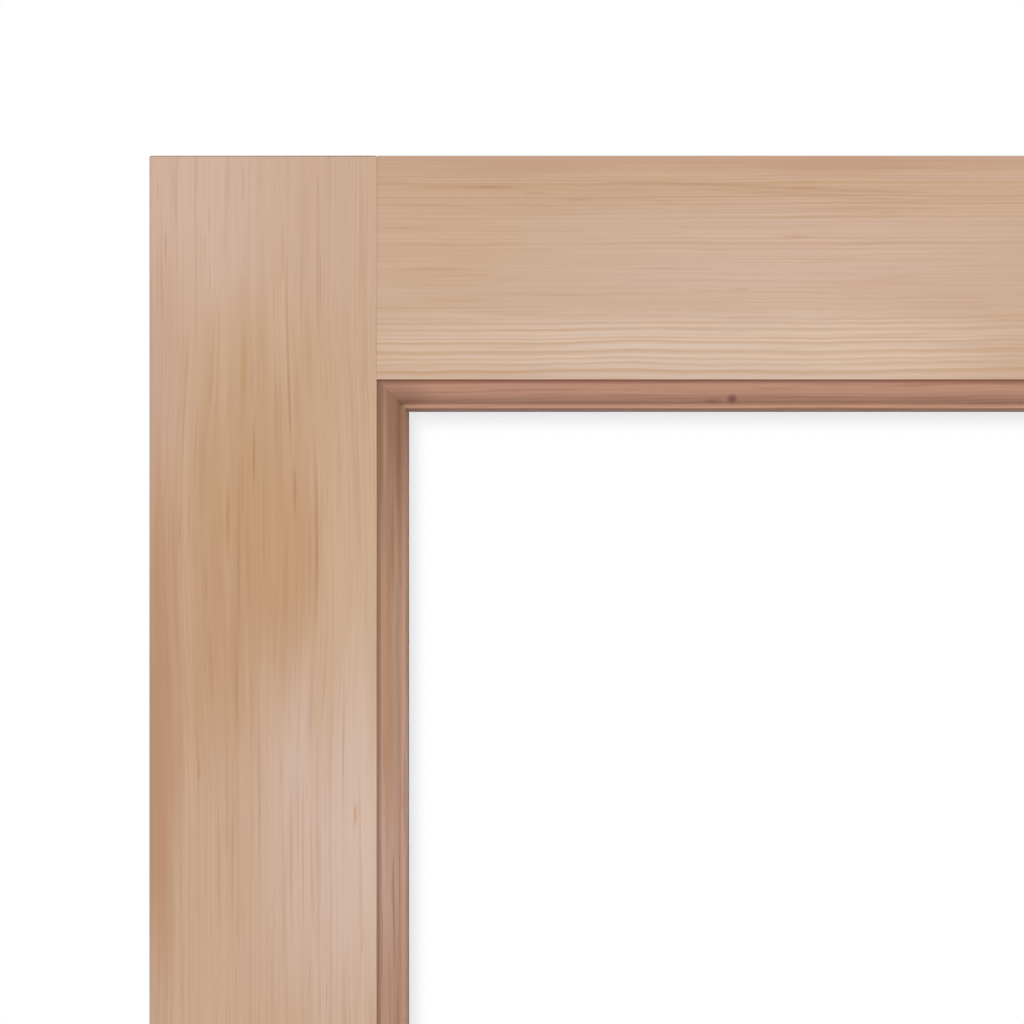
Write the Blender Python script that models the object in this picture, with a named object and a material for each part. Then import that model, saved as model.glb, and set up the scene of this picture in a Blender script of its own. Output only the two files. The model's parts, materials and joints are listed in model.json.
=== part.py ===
"""A prehung sauna door: a glazed softwood leaf on three butt hinges in its own jamb.

World frame, in metres: Z is up, X runs across the doorway and Y through the wall.
The outside of the sauna is at -Y. The origin is the middle of the threshold's underside.
The leaf stands open, square to the jamb, as it is pictured. It swings on the empty leaf_swing_axis.
"""

import math

import bmesh
import bpy

INCH = 0.0254
FIT = 0.0003  # gap left between two pieces that touch
CUT_PAST = 0.001  # how far a cutter runs past the surface that it opens
ARC_STEP = 0.002  # about how long each side of a rounded corner is
SHARP_ANGLE = math.radians(28)  # faces that turn more than this meet in an edge

# Door leaf
LEAF_WIDTH = 24 * INCH
LEAF_HEIGHT = 80 * INCH
LEAF_THICKNESS = 1.75 * INCH
STILE_WIDTH = 4.625 * INCH
TOP_RAIL_HEIGHT = 4.5625 * INCH
BOTTOM_RAIL_HEIGHT = 9.25 * INCH
EASED_EDGE = 0.0012
OPEN_ANGLE = 90.0  # degrees that the leaf stands open at rest

# Moulded edge beside the glass: a step, a quarter ellipse, a fillet and a drawn-in edge
STICKING_WIDTH = 0.5625 * INCH
STICKING_STEP = 0.0014
OVOLO_START = 0.0009
OVOLO_WIDTH = 0.0098
OVOLO_DEPTH = 0.0072
FILLET_WIDTH = 0.0022
OVOLO_SIDES = 9

# Insulating glass unit
PANE_THICKNESS = 0.0032
CAVITY = 0.0095
TAPE_THICKNESS = 0.0008
TAPE_WIDTH = 0.009
GLASS_EDGE_CLEARANCE = 0.0032
SPACER_INSET = 0.0032
SPACER_WIDTH = 0.0065
SETTING_BLOCK_LENGTH = 0.075
SETTING_BLOCK_WIDTH = 0.016

# Dowels between the rails and the stiles
DOWEL_RADIUS = 0.008
DOWEL_LENGTH = 0.120
TOP_DOWEL_SPACING = 0.055
BOTTOM_DOWEL_SPACING = 0.120
DOWEL_CHAMFER = 0.0015
DOWEL_SIDES = 12

# Jamb
JAMB_THICKNESS = 0.75 * INCH
JAMB_DEPTH = 4.5625 * INCH
SIDE_GAP = 0.125 * INCH
HEAD_GAP = 0.125 * INCH
SILL_GAP = 0.1875 * INCH
THRESHOLD_HEIGHT = 0.75 * INCH
THRESHOLD_NOSE = 0.011
THRESHOLD_SLOPE = 0.018
HEAD_HOUSING = 0.375 * INCH
STOP_THICKNESS = 0.4375 * INCH
STOP_WIDTH = 1.375 * INCH
STOP_ROUND = 0.003
STOP_GAP = 0.0015

# Butt hinges, each 4 by 4 inches open
HINGE_HEIGHT = 4 * INCH
HINGE_LEAF_WIDTH = 2 * INCH
HINGE_BACKSET = 0.25 * INCH
HINGE_PLATE = 0.0030
HINGE_TOP_MARGIN = 5 * INCH
HINGE_BOTTOM_MARGIN = 10 * INCH
KNUCKLES = 5
KNUCKLE_GAP = 0.0004
KNUCKLE_CLEARANCE = 0.0006
KNUCKLE_LAP = 0.002
KNUCKLE_SIDES = 12
PIN_RADIUS = 0.0030
PIN_CLEARANCE = 0.0002
PIN_HEAD_RADIUS = 0.0056
PIN_HEAD_HEIGHT = 0.0042
PIN_TAIL = 0.0028
PIN_TAIL_TAPER = 0.6
PIN_CROWN = ((1.0, 0.0), (1.0, 0.5), (0.8, 0.86), (0.4, 1.0))  # shares of the head's radius and height
ROUND_SIDES = 16

# Flat-head wood screws with a square drive: (head radius, shank radius)
HINGE_SCREW = (0.0045, 0.0021)
PLATE_SCREW = (0.0029, 0.0017)
FRAME_SCREW = (0.0045, 0.0022)
JAMB_SCREW_LENGTH = 0.0165
LEAF_SCREW_LENGTH = 0.030
PLATE_SCREW_LENGTH = 0.016
FRAME_SCREW_LENGTH = 0.060
FRAME_SCREW_SPREAD = 0.035
FRAME_SCREW_FROM_FLOOR = 0.0085
SCREW_SIDES = 8
SCREW_SUNK = 0.00015
SCREW_POINT = 0.15  # radius of the tip, against the shank's
HEAD_SLACK = 0.0002
HEAD_HALF_ANGLE = math.radians(41)
DRIVE_SHARE = 0.34  # half the square drive's width, against the head's radius
HINGE_SCREW_HEIGHTS = (-0.038, -0.0135, 0.0135, 0.038)
HINGE_SCREW_DEPTHS = (0.020, 0.038, 0.020, 0.038)

# Ball catch in the latch edge, and its strike
CATCH_HEIGHT = 40 * INCH
BALL_RADIUS = 0.007
BALL_REACH = 0.0048
BALL_CLEARANCE = 0.0004
MOUTH_CLEARANCE = 0.00015
PLATE_WIDTH = 0.875 * INCH
PLATE_HEIGHT = 2.25 * INCH
PLATE_THICKNESS = 0.0016
PLATE_SCREW_SPREAD = 0.021
BARREL_WALL = 0.0014
BARREL_LENGTH = 0.030
BARREL_FLOOR = 0.0015
SPRING_RADIUS = 0.0046
SPRING_WIRE_RADIUS = 0.0005
SPRING_TURNS = 6
SPRING_STEPS = 10
SPRING_WIRE_SIDES = 5
BALL_POLE = 0.35  # how much of a ring's step the flat at each pole takes
STRIKE_CLEARANCE = 0.0008
STRIKE_POCKET_DEPTH = 0.0075
LIP_WIDTH = 0.020
LIP_RADIUS = 0.0042
LIP_ANGLE = 70.0
LIP_LAP = 0.002
LIP_STEPS = 6

# Wooden pulls, fixed back to back
PULL_LENGTH = 12 * INCH
PULL_WIDTH = 1.25 * INCH
PULL_REACH = 0.057
PULL_GRIP = 0.024
PULL_FOOT = 0.036
PULL_SHOULDER = 0.016
PULL_SHOULDER_RUN = 0.042
PULL_INNER_ROUND = 0.016
PULL_EDGE_ROUND = 0.006
PULL_EDGE_SEGMENTS = 3
PULL_SHOULDER_STEPS = 8
PULL_INNER_STEPS = 6
PULL_HEIGHT = 39 * INCH
HANGER_BOLT_RADIUS = 0.003
HANGER_BOLT_BITE = 0.028
INSERT_RADIUS = 0.0048
INSERT_LENGTH = 0.016
BOLT_SIDES = 12

# Places that follow from the sizes above
OPENING_WIDTH = LEAF_WIDTH + 2 * SIDE_GAP
LEAF_BOTTOM = THRESHOLD_HEIGHT + SILL_GAP
HEAD_UNDERSIDE = LEAF_BOTTOM + LEAF_HEIGHT + HEAD_GAP
FRAME_TOP = HEAD_UNDERSIDE + JAMB_THICKNESS
OUTSIDE_Y = -JAMB_DEPTH / 2
PIN_OFFSET = HINGE_LEAF_WIDTH - (LEAF_THICKNESS - HINGE_BACKSET)
KNUCKLE_RADIUS = PIN_RADIUS + PIN_CLEARANCE + HINGE_PLATE
AXIS_X = -OPENING_WIDTH / 2 + SIDE_GAP / 2
AXIS_Y = OUTSIDE_Y - PIN_OFFSET
LEAF_CORNER = (SIDE_GAP / 2, PIN_OFFSET, LEAF_BOTTOM)
STOP_FRONT = OUTSIDE_Y + LEAF_THICKNESS + STOP_GAP

STILE_FACE = STILE_WIDTH - STICKING_WIDTH
TOP_FACE = TOP_RAIL_HEIGHT - STICKING_WIDTH
BOTTOM_FACE = BOTTOM_RAIL_HEIGHT - STICKING_WIDTH
STICKING_DEPTH = (LEAF_THICKNESS - 2 * TAPE_THICKNESS - 2 * PANE_THICKNESS - CAVITY) / 2 - 3 * FIT
OUTER_TAPE_Y = STICKING_DEPTH + FIT
OUTER_PANE_Y = OUTER_TAPE_Y + TAPE_THICKNESS + FIT
SPACER_Y = OUTER_PANE_Y + PANE_THICKNESS + FIT
INNER_PANE_Y = SPACER_Y + CAVITY + FIT
INNER_TAPE_Y = INNER_PANE_Y + PANE_THICKNESS + FIT

X, Y, Z = "XYZ"


def material(name, rgb, roughness, metallic=0.0, transmission=0.0):
    """A plain Principled finish; rgb is linear."""
    made = bpy.data.materials.new(name)
    made.use_nodes = True
    made.diffuse_color = (*rgb, 1.0)
    shader = made.node_tree.nodes["Principled BSDF"]
    shader.inputs["Base Color"].default_value = (*rgb, 1.0)
    shader.inputs["Roughness"].default_value = roughness
    shader.inputs["Metallic"].default_value = metallic
    shader.inputs["Transmission Weight"].default_value = transmission
    return made


def add_object(name, mesh_maker, finish=None, parent=None, location=(0, 0, 0)):
    """Turns a bmesh into a linked object, smooth but for its sharp edges.

    Without a finish it is a hidden cutter.
    """
    bmesh.ops.recalc_face_normals(mesh_maker, faces=mesh_maker.faces)
    mesh = bpy.data.meshes.new(name)
    mesh_maker.to_mesh(mesh)
    mesh_maker.free()
    made = bpy.data.objects.new(name, mesh)
    bpy.context.collection.objects.link(made)
    made.parent = parent
    made.location = location
    if finish is None:
        made.hide_render = True
        made.display_type = "WIRE"
        return made
    mesh.materials.append(finish)
    mesh.shade_smooth()
    mesh.set_sharp_from_angle(angle=SHARP_ANGLE)
    return made


def empty(name, location, parent=None):
    """A parent that stands on a joint's axis."""
    made = bpy.data.objects.new(name, None)
    bpy.context.collection.objects.link(made)
    made.parent = parent
    made.location = location
    return made


def apply_boolean(target, tool, operation="DIFFERENCE"):
    """Cuts a tool from the target, or joins it on."""
    modifier = target.modifiers.new(tool.name, "BOOLEAN")
    modifier.object = tool
    modifier.operation = operation


def skin(shape, rings):
    """Closes a surface through rings of equally many points. The two end rings are capped flat."""
    laid = [[shape.verts.new(point) for point in ring] for ring in rings]
    count = len(laid[0])
    for low, high in zip(laid, laid[1:]):
        for i in range(count):
            j = (i + 1) % count
            shape.faces.new((low[i], low[j], high[j], high[i]))
    shape.faces.new(laid[0])
    shape.faces.new(laid[-1])
    return shape


def square_to(axis, outline, position):
    """The points of a flat outline laid square to an axis, at a place along it.

    The outline's two numbers lie along the next two axes, in X, Y, Z order.
    """
    along = "XYZ".index(axis)
    points = []
    for first, second in outline:
        point = [0.0, 0.0, 0.0]
        point[along] = position
        point[(along + 1) % 3] = first
        point[(along + 2) % 3] = second
        points.append(point)
    return points


def prism(axis, outline, start, end, shape=None):
    """A straight bar with the outline as its section."""
    rings = [square_to(axis, outline, start), square_to(axis, outline, end)]
    return skin(shape or bmesh.new(), rings)


def turned(axis, profile, centre, sides, shape=None):
    """A solid turned about an axis through centre, from (radius, place along the axis) pairs."""
    rings = [square_to(axis, circle(radius, sides, centre), place) for radius, place in profile]
    return skin(shape or bmesh.new(), rings)


def polar(centre, radius, angle):
    """The point at a radius and an angle from a centre."""
    return centre[0] + radius * math.cos(angle), centre[1] + radius * math.sin(angle)


def circle(radius, sides, centre=(0.0, 0.0)):
    """Points evenly round a circle."""
    return [polar(centre, radius, 2 * math.pi * i / sides) for i in range(sides)]


def rectangle(low, high):
    """The four corners between two opposite ones."""
    return [(low[0], low[1]), (high[0], low[1]), (high[0], high[1]), (low[0], high[1])]


def grown(low, high, clearance):
    """The rectangle between two corners, larger by a clearance on every side."""
    return rectangle((low[0] - clearance, low[1] - clearance), (high[0] + clearance, high[1] + clearance))


def rounded(corners):
    """An outline from (first, second, radius) corners, with each radius drawn as an arc."""
    outline = []
    count = len(corners)
    for i, (first, second, radius) in enumerate(corners):
        if radius == 0:
            outline.append((first, second))
            continue
        before, after = corners[i - 1], corners[(i + 1) % count]
        to_before = math.atan2(before[1] - second, before[0] - first)
        to_after = math.atan2(after[1] - second, after[0] - first)
        sweep = (to_after - to_before + math.pi) % (2 * math.pi) - math.pi
        reach = radius / math.tan(abs(sweep) / 2)
        half_way = to_before + sweep / 2
        centre_distance = radius / math.sin(abs(sweep) / 2)
        centre = polar((first, second), centre_distance, half_way)
        starts = polar((first, second), reach, to_before)
        ends = polar((first, second), reach, to_after)
        start_angle = math.atan2(starts[1] - centre[1], starts[0] - centre[0])
        end_angle = math.atan2(ends[1] - centre[1], ends[0] - centre[0])
        turn = (end_angle - start_angle + math.pi) % (2 * math.pi) - math.pi
        steps = max(2, round(abs(turn) * radius / ARC_STEP))
        for k in range(steps + 1):
            outline.append(polar(centre, radius, start_angle + turn * k / steps))
    return outline


def rectangular_ring(outer, inner, near, far):
    """A picture-frame shape in the X-Z plane between two depths; outer and inner are (low, high) corners."""
    shape = bmesh.new()
    loops = []
    for low, high in (outer, inner):
        corners = rectangle(low, high)
        for depth in (near, far):
            loops.append([shape.verts.new((x, depth, z)) for x, z in corners])
    outer_near, outer_far, inner_near, inner_far = loops
    for one, two in (
        (outer_near, outer_far),
        (outer_far, inner_far),
        (inner_far, inner_near),
        (inner_near, outer_near),
    ):
        for i in range(4):
            j = (i + 1) % 4
            shape.faces.new((one[i], one[j], two[j], two[i]))
    return shape


# Sections of the joinery


def eased(corners):
    """An outline whose corners are all sanded to a small round."""
    return rounded([(first, second, EASED_EDGE) for first, second in corners])


def ovolo_profile():
    """(distance from the face towards the glass, depth below the face) points of the moulded edge.

    A square step drops from the face. A quarter ellipse turns down to a narrow fillet that faces the viewer,
    and the edge then draws in to the sight line at the glass.
    """
    points = [(0.0, STICKING_STEP)]
    for i in range(OVOLO_SIDES + 1):
        turn = math.pi / 2 * i / OVOLO_SIDES
        across = OVOLO_START + OVOLO_WIDTH * math.sin(turn)
        depth = STICKING_STEP + OVOLO_DEPTH * (1 - math.cos(turn))
        points.append((across, depth))
    fillet_end = OVOLO_START + OVOLO_WIDTH + FILLET_WIDTH
    points.append((fillet_end, STICKING_STEP + OVOLO_DEPTH))
    points.append((STICKING_WIDTH, STICKING_DEPTH))
    return points


def member_section(face):
    """A stile's or rail's section as (distance from its outer edge, depth from the outside face).

    The moulded edge is worked on the outside face, and the rabbet behind it takes the glass and the bead.
    """
    inside = LEAF_THICKNESS
    section = rounded([(0, inside, EASED_EDGE), (0, 0, EASED_EDGE), (face, 0, 0)])
    section += [(face + across, depth) for across, depth in ovolo_profile()]
    section += [(face, STICKING_DEPTH), (face, inside)]
    return section


def cope_cutter_outline():
    """The stile's moulded edge with a fitting gap, which a rail's end is cut back from."""
    worked = [(STILE_FACE - 2 * FIT, STICKING_STEP - FIT)]
    worked += [(STILE_FACE + across + FIT, depth - FIT) for across, depth in ovolo_profile()]
    worked += [(STILE_WIDTH + FIT, STICKING_DEPTH + FIT), (STILE_FACE - 2 * FIT, STICKING_DEPTH + FIT)]
    return worked


# Fasteners


def head_depth(size):
    """How deep a flat head's cone is."""
    head, shank = size
    return (head - shank) / math.tan(HEAD_HALF_ANGLE)


def screw_profile(size, start, direction, length):
    """A flat-head screw as (radius, place) pairs, from its head inwards along direction."""
    head, shank = size
    cone = head_depth(size)
    return [
        (head, start),
        (shank, start + direction * cone),
        (shank, start + direction * (length - 2 * shank)),
        (shank * SCREW_POINT, start + direction * length),
    ]


def countersink_profile(size, start, direction, through):
    """The seat that a screw's head lies in, as (radius, place) pairs. It opens past the surface."""
    head, shank = size
    hole = shank - HEAD_SLACK / 2
    return [
        (head + HEAD_SLACK, start - direction * CUT_PAST),
        (head + HEAD_SLACK, start),
        (hole, start + direction * (head_depth(size) + HEAD_SLACK)),
        (hole, start + direction * (through + CUT_PAST)),
    ]


def drive_recess(axis, size, centre, start, direction, shape=None):
    """The square drive in a screw's head."""
    half = size[0] * DRIVE_SHARE
    outline = rectangle((centre[0] - half, centre[1] - half), (centre[0] + half, centre[1] + half))
    return prism(axis, outline, start - direction * CUT_PAST, start + direction * half, shape)


def seat_screws(plate, axis, size, centres, start, direction, length, thickness):
    """Sets flat-head screws in a metal plate: countersinks first, then the screws, then their recesses."""
    seats, screws, drives = bmesh.new(), bmesh.new(), bmesh.new()
    sunk = start + direction * SCREW_SUNK
    for centre in centres:
        turned(axis, countersink_profile(size, start, direction, thickness), centre, SCREW_SIDES, seats)
        turned(axis, screw_profile(size, sunk, direction, length), centre, SCREW_SIDES, screws)
        drive_recess(axis, size, centre, sunk, direction, drives)
    for label, tool, operation in (
        ("countersinks", seats, "DIFFERENCE"),
        ("screws", screws, "UNION"),
        ("drives", drives, "DIFFERENCE"),
    ):
        cutter = add_object(f"{plate.name}_{label}", tool, None, plate.parent, plate.location)
        apply_boolean(plate, cutter, operation)


def pilot_holes(wood, name, axis, size, centres, start, direction, length, parent, location):
    """Bores the wood for the shanks of screws whose heads lie in a plate."""
    holes = bmesh.new()
    for centre in centres:
        bore = circle(size[1] + FIT, SCREW_SIDES, centre)
        prism(axis, bore, start, start + direction * (length + SCREW_SUNK + FIT), holes)
    apply_boolean(wood, add_object(name, holes, None, parent, location))


# Door leaf


def leaf_piece(name, shape, finish, axis):
    """A piece of the leaf: X from the hinge edge, Y from the outside face, Z from the bottom edge."""
    return add_object(name, shape, finish, axis, LEAF_CORNER)


def leaf_cutter(name, shape, axis):
    """A cutter in the leaf's own places."""
    return add_object(name, shape, None, axis, LEAF_CORNER)


def build_stiles_and_rails(axis, fir):
    """Two full-height stiles and two coped rails. Returns them by name."""
    stile = member_section(STILE_FACE)
    mirrored = [(LEAF_WIDTH - across, depth) for across, depth in stile]
    top = member_section(TOP_FACE)
    bottom = member_section(BOTTOM_FACE)
    rail_start = STILE_FACE + FIT
    rail_end = LEAF_WIDTH - STILE_FACE - FIT
    made = {
        "hinge_stile": leaf_piece("hinge_stile", prism(Z, stile, 0, LEAF_HEIGHT), fir, axis),
        "latch_stile": leaf_piece("latch_stile", prism(Z, mirrored, 0, LEAF_HEIGHT), fir, axis),
    }
    top_outline = [(depth, LEAF_HEIGHT - across) for across, depth in top]
    bottom_outline = [(depth, across) for across, depth in bottom]
    made["top_rail"] = leaf_piece("top_rail", prism(X, top_outline, rail_start, rail_end), fir, axis)
    made["bottom_rail"] = leaf_piece("bottom_rail", prism(X, bottom_outline, rail_start, rail_end), fir, axis)
    cope = cope_cutter_outline()
    mirrored_cope = [(LEAF_WIDTH - across, depth) for across, depth in cope]
    for label, outline in (("hinge", cope), ("latch", mirrored_cope)):
        cutter = leaf_cutter(f"cope_{label}", prism(Z, outline, -CUT_PAST, LEAF_HEIGHT + CUT_PAST), axis)
        apply_boolean(made["top_rail"], cutter)
        apply_boolean(made["bottom_rail"], cutter)
    return made


def build_dowels(axis, beech, members):
    """Two dowels across each of the four joints, with their bores."""
    mid_depth = (STICKING_DEPTH + LEAF_THICKNESS) / 2
    joints = {
        "top": (LEAF_HEIGHT - TOP_FACE / 2, TOP_DOWEL_SPACING, "top_rail"),
        "bottom": (BOTTOM_FACE / 2, BOTTOM_DOWEL_SPACING, "bottom_rail"),
    }
    sides = {"hinge": (STILE_FACE, "hinge_stile"), "latch": (LEAF_WIDTH - STILE_FACE, "latch_stile")}
    half = DOWEL_LENGTH / 2
    for level, (middle, spacing, rail) in joints.items():
        for side, (shoulder, stile) in sides.items():
            for number, lift in ((1, -spacing / 2), (2, spacing / 2)):
                centre = (mid_depth, middle + lift)
                profile = [
                    (DOWEL_RADIUS - DOWEL_CHAMFER, shoulder - half),
                    (DOWEL_RADIUS, shoulder - half + DOWEL_CHAMFER),
                    (DOWEL_RADIUS, shoulder + half - DOWEL_CHAMFER),
                    (DOWEL_RADIUS - DOWEL_CHAMFER, shoulder + half),
                ]
                name = f"dowel_{level}_{side}_{number}"
                leaf_piece(name, turned(X, profile, centre, DOWEL_SIDES), beech, axis)
                bore = circle(DOWEL_RADIUS + FIT, DOWEL_SIDES, centre)
                bore = prism(X, bore, shoulder - half - FIT, shoulder + half + FIT)
                hole = leaf_cutter(f"{name}_bore", bore, axis)
                apply_boolean(members[rail], hole)
                apply_boolean(members[stile], hole)


def build_beads(axis, fir):
    """Four mitred glazing beads that hold the glass from the inside face."""
    section = [(FIT, STICKING_DEPTH)] + [(max(across, FIT), depth) for across, depth in ovolo_profile()]
    left, right = STILE_FACE, LEAF_WIDTH - STILE_FACE
    low, high = BOTTOM_FACE, LEAF_HEIGHT - TOP_FACE
    inside = LEAF_THICKNESS

    def bead(name, place, start, end):
        """place turns (distance from the rabbet, depth, run) into a point."""
        back = FIT / math.sqrt(2)  # along the run, which leaves one gap across the mitre
        rings = [
            [place(across, depth, start + across + back) for across, depth in section],
            [place(across, depth, end - across - back) for across, depth in section],
        ]
        leaf_piece(name, skin(bmesh.new(), rings), fir, axis)

    bead("glazing_bead_hinge", lambda a, d, run: (left + a, inside - d, run), low, high)
    bead("glazing_bead_latch", lambda a, d, run: (right - a, inside - d, run), low, high)
    bead("glazing_bead_top", lambda a, d, run: (run, inside - d, high - a), left, right)
    bead("glazing_bead_bottom", lambda a, d, run: (run, inside - d, low + a), left, right)


def build_glass(axis, glass, metal, black, rubber):
    """The sealed unit: two panes, a spacer and its edge seal, on two setting blocks between two tapes."""
    edge = GLASS_EDGE_CLEARANCE
    low = (STILE_FACE + edge, BOTTOM_FACE + edge)
    high = (LEAF_WIDTH - STILE_FACE - edge, LEAF_HEIGHT - TOP_FACE - edge)

    def inset(distance):
        return (low[0] + distance, low[1] + distance), (high[0] - distance, high[1] - distance)

    for name, near in (("outer_pane", OUTER_PANE_Y), ("inner_pane", INNER_PANE_Y)):
        outline = rectangle((low[1], low[0]), (high[1], high[0]))
        leaf_piece(name, prism(Y, outline, near, near + PANE_THICKNESS), glass, axis)
    spacer_out, spacer_in = inset(SPACER_INSET), inset(SPACER_INSET + SPACER_WIDTH)
    spacer = rectangular_ring(spacer_out, spacer_in, SPACER_Y, SPACER_Y + CAVITY)
    leaf_piece("glass_spacer", spacer, metal, axis)
    seal = rectangular_ring(inset(0), inset(SPACER_INSET - FIT), SPACER_Y, SPACER_Y + CAVITY)
    leaf_piece("glass_edge_seal", seal, black, axis)
    for name, near in (("outer_glazing_tape", OUTER_TAPE_Y), ("inner_glazing_tape", INNER_TAPE_Y)):
        tape = rectangular_ring(inset(FIT), inset(TAPE_WIDTH + FIT), near, near + TAPE_THICKNESS)
        leaf_piece(name, tape, black, axis)
    unit_middle = (OUTER_PANE_Y + INNER_PANE_Y + PANE_THICKNESS) / 2
    quarter = (high[0] - low[0]) / 4
    for name, x in (("setting_block_hinge", low[0] + quarter), ("setting_block_latch", high[0] - quarter)):
        outline = rectangle(
            (unit_middle - SETTING_BLOCK_WIDTH / 2, BOTTOM_FACE + FIT),
            (unit_middle + SETTING_BLOCK_WIDTH / 2, BOTTOM_FACE + edge - FIT),
        )
        half = SETTING_BLOCK_LENGTH / 2
        leaf_piece(name, prism(X, outline, x - half, x + half), rubber, axis)


# Pulls


def pull_outline():
    """A pull's side view as (height along the leaf, reach from its face), a bridge with rounded shoulders."""
    half = PULL_LENGTH / 2
    shoulder = []
    for i in range(PULL_SHOULDER_STEPS + 1):
        turn = math.pi / 2 * i / PULL_SHOULDER_STEPS
        along = half - PULL_SHOULDER_RUN * (1 - math.cos(turn))
        reach = PULL_SHOULDER + (PULL_REACH - PULL_SHOULDER) * math.sin(turn)
        shoulder.append((along, reach))
    outer = [(half, 0)] + shoulder
    outer += [(-along, reach) for along, reach in reversed(outer)]
    gap = PULL_REACH - PULL_GRIP
    inner_end = half - PULL_FOOT
    fillet = []
    for i in range(PULL_INNER_STEPS + 1):
        turn = math.pi / 2 * i / PULL_INNER_STEPS
        along = inner_end - PULL_INNER_ROUND * (1 - math.cos(turn))
        reach = gap - PULL_INNER_ROUND * (1 - math.sin(turn))
        fillet.append((along, reach))
    inner = [(inner_end, 0)] + fillet
    inner += [(-along, reach) for along, reach in reversed(inner)]
    return outer + list(reversed(inner))


def build_pull(name, axis, cedar, face, direction):
    """One wooden pull that stands off a face of the latch stile."""
    middle = LEAF_WIDTH - STILE_FACE / 2
    outline = []
    for along, reach in pull_outline():
        outline.append((face + direction * (reach + FIT), PULL_HEIGHT + along))
    shape = prism(X, outline, middle - PULL_WIDTH / 2, middle + PULL_WIDTH / 2)
    weights = shape.edges.layers.float.new("bevel_weight_edge")
    for edge in shape.edges:
        ends = [vert.co for vert in edge.verts]
        along_a_side = abs(ends[0].x - ends[1].x) < FIT
        leaves_the_foot = any(abs(end.y - face) > 2 * FIT for end in ends)
        edge[weights] = 1.0 if along_a_side and leaves_the_foot else 0.0
    made = leaf_piece(name, shape, cedar, axis)
    bevel = made.modifiers.new("worked_round", "BEVEL")
    bevel.limit_method = "WEIGHT"
    bevel.width = PULL_EDGE_ROUND
    bevel.segments = PULL_EDGE_SEGMENTS
    bevel.use_clamp_overlap = True
    return made


def build_pulls(axis, cedar, brass, members):
    """The two pulls, their hanger bolts through the stile, and the inserts in the inner pull."""
    outer = build_pull("outer_pull", axis, cedar, 0, -1)
    inner = build_pull("inner_pull", axis, cedar, LEAF_THICKNESS, 1)
    middle = LEAF_WIDTH - STILE_FACE / 2
    lift = PULL_LENGTH / 2 - PULL_FOOT / 2
    insert_start = LEAF_THICKNESS + 2 * FIT
    bolt_end = insert_start + INSERT_LENGTH - FIT
    for number, height in ((1, PULL_HEIGHT - lift), (2, PULL_HEIGHT + lift)):
        centre = (height, middle)
        bolt = circle(HANGER_BOLT_RADIUS, BOLT_SIDES, centre)
        leaf_piece(f"pull_hanger_bolt_{number}", prism(Y, bolt, -HANGER_BOLT_BITE, bolt_end), brass, axis)
        bore = circle(HANGER_BOLT_RADIUS + FIT, BOLT_SIDES, centre)
        bore = prism(Y, bore, -HANGER_BOLT_BITE - FIT, bolt_end + FIT)
        hole = leaf_cutter(f"pull_bolt_bore_{number}", bore, axis)
        apply_boolean(outer, hole)
        apply_boolean(members["latch_stile"], hole)
        insert_end = insert_start + INSERT_LENGTH
        sleeve = prism(Y, circle(INSERT_RADIUS, ROUND_SIDES, centre), insert_start, insert_end)
        insert = leaf_piece(f"pull_insert_{number}", sleeve, brass, axis)
        thread_bore = circle(HANGER_BOLT_RADIUS + FIT, ROUND_SIDES, centre)
        thread = prism(Y, thread_bore, insert_start - CUT_PAST, insert_end + CUT_PAST)
        apply_boolean(insert, leaf_cutter(f"pull_insert_bore_{number}", thread, axis))
        pocket = circle(INSERT_RADIUS + FIT, ROUND_SIDES, centre)
        seat = prism(Y, pocket, LEAF_THICKNESS - CUT_PAST, insert_end + FIT)
        apply_boolean(inner, leaf_cutter(f"pull_insert_seat_{number}", seat, axis))


# Hinges


def knuckle_spans():
    """(low, high) of each knuckle along the pin, from the hinge's middle."""
    pitch = HINGE_HEIGHT / KNUCKLES
    starts = [-HINGE_HEIGHT / 2 + pitch * i for i in range(KNUCKLES)]
    return [(low + KNUCKLE_GAP / 2, low + pitch - KNUCKLE_GAP / 2) for low in starts]


def hinge_screw_centres(height=0.0):
    """Where a plate's screws go, as (depth from the pin's axis, height), for a hinge at a height."""
    return [(depth, height + lift) for depth, lift in zip(HINGE_SCREW_DEPTHS, HINGE_SCREW_HEIGHTS)]


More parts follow.
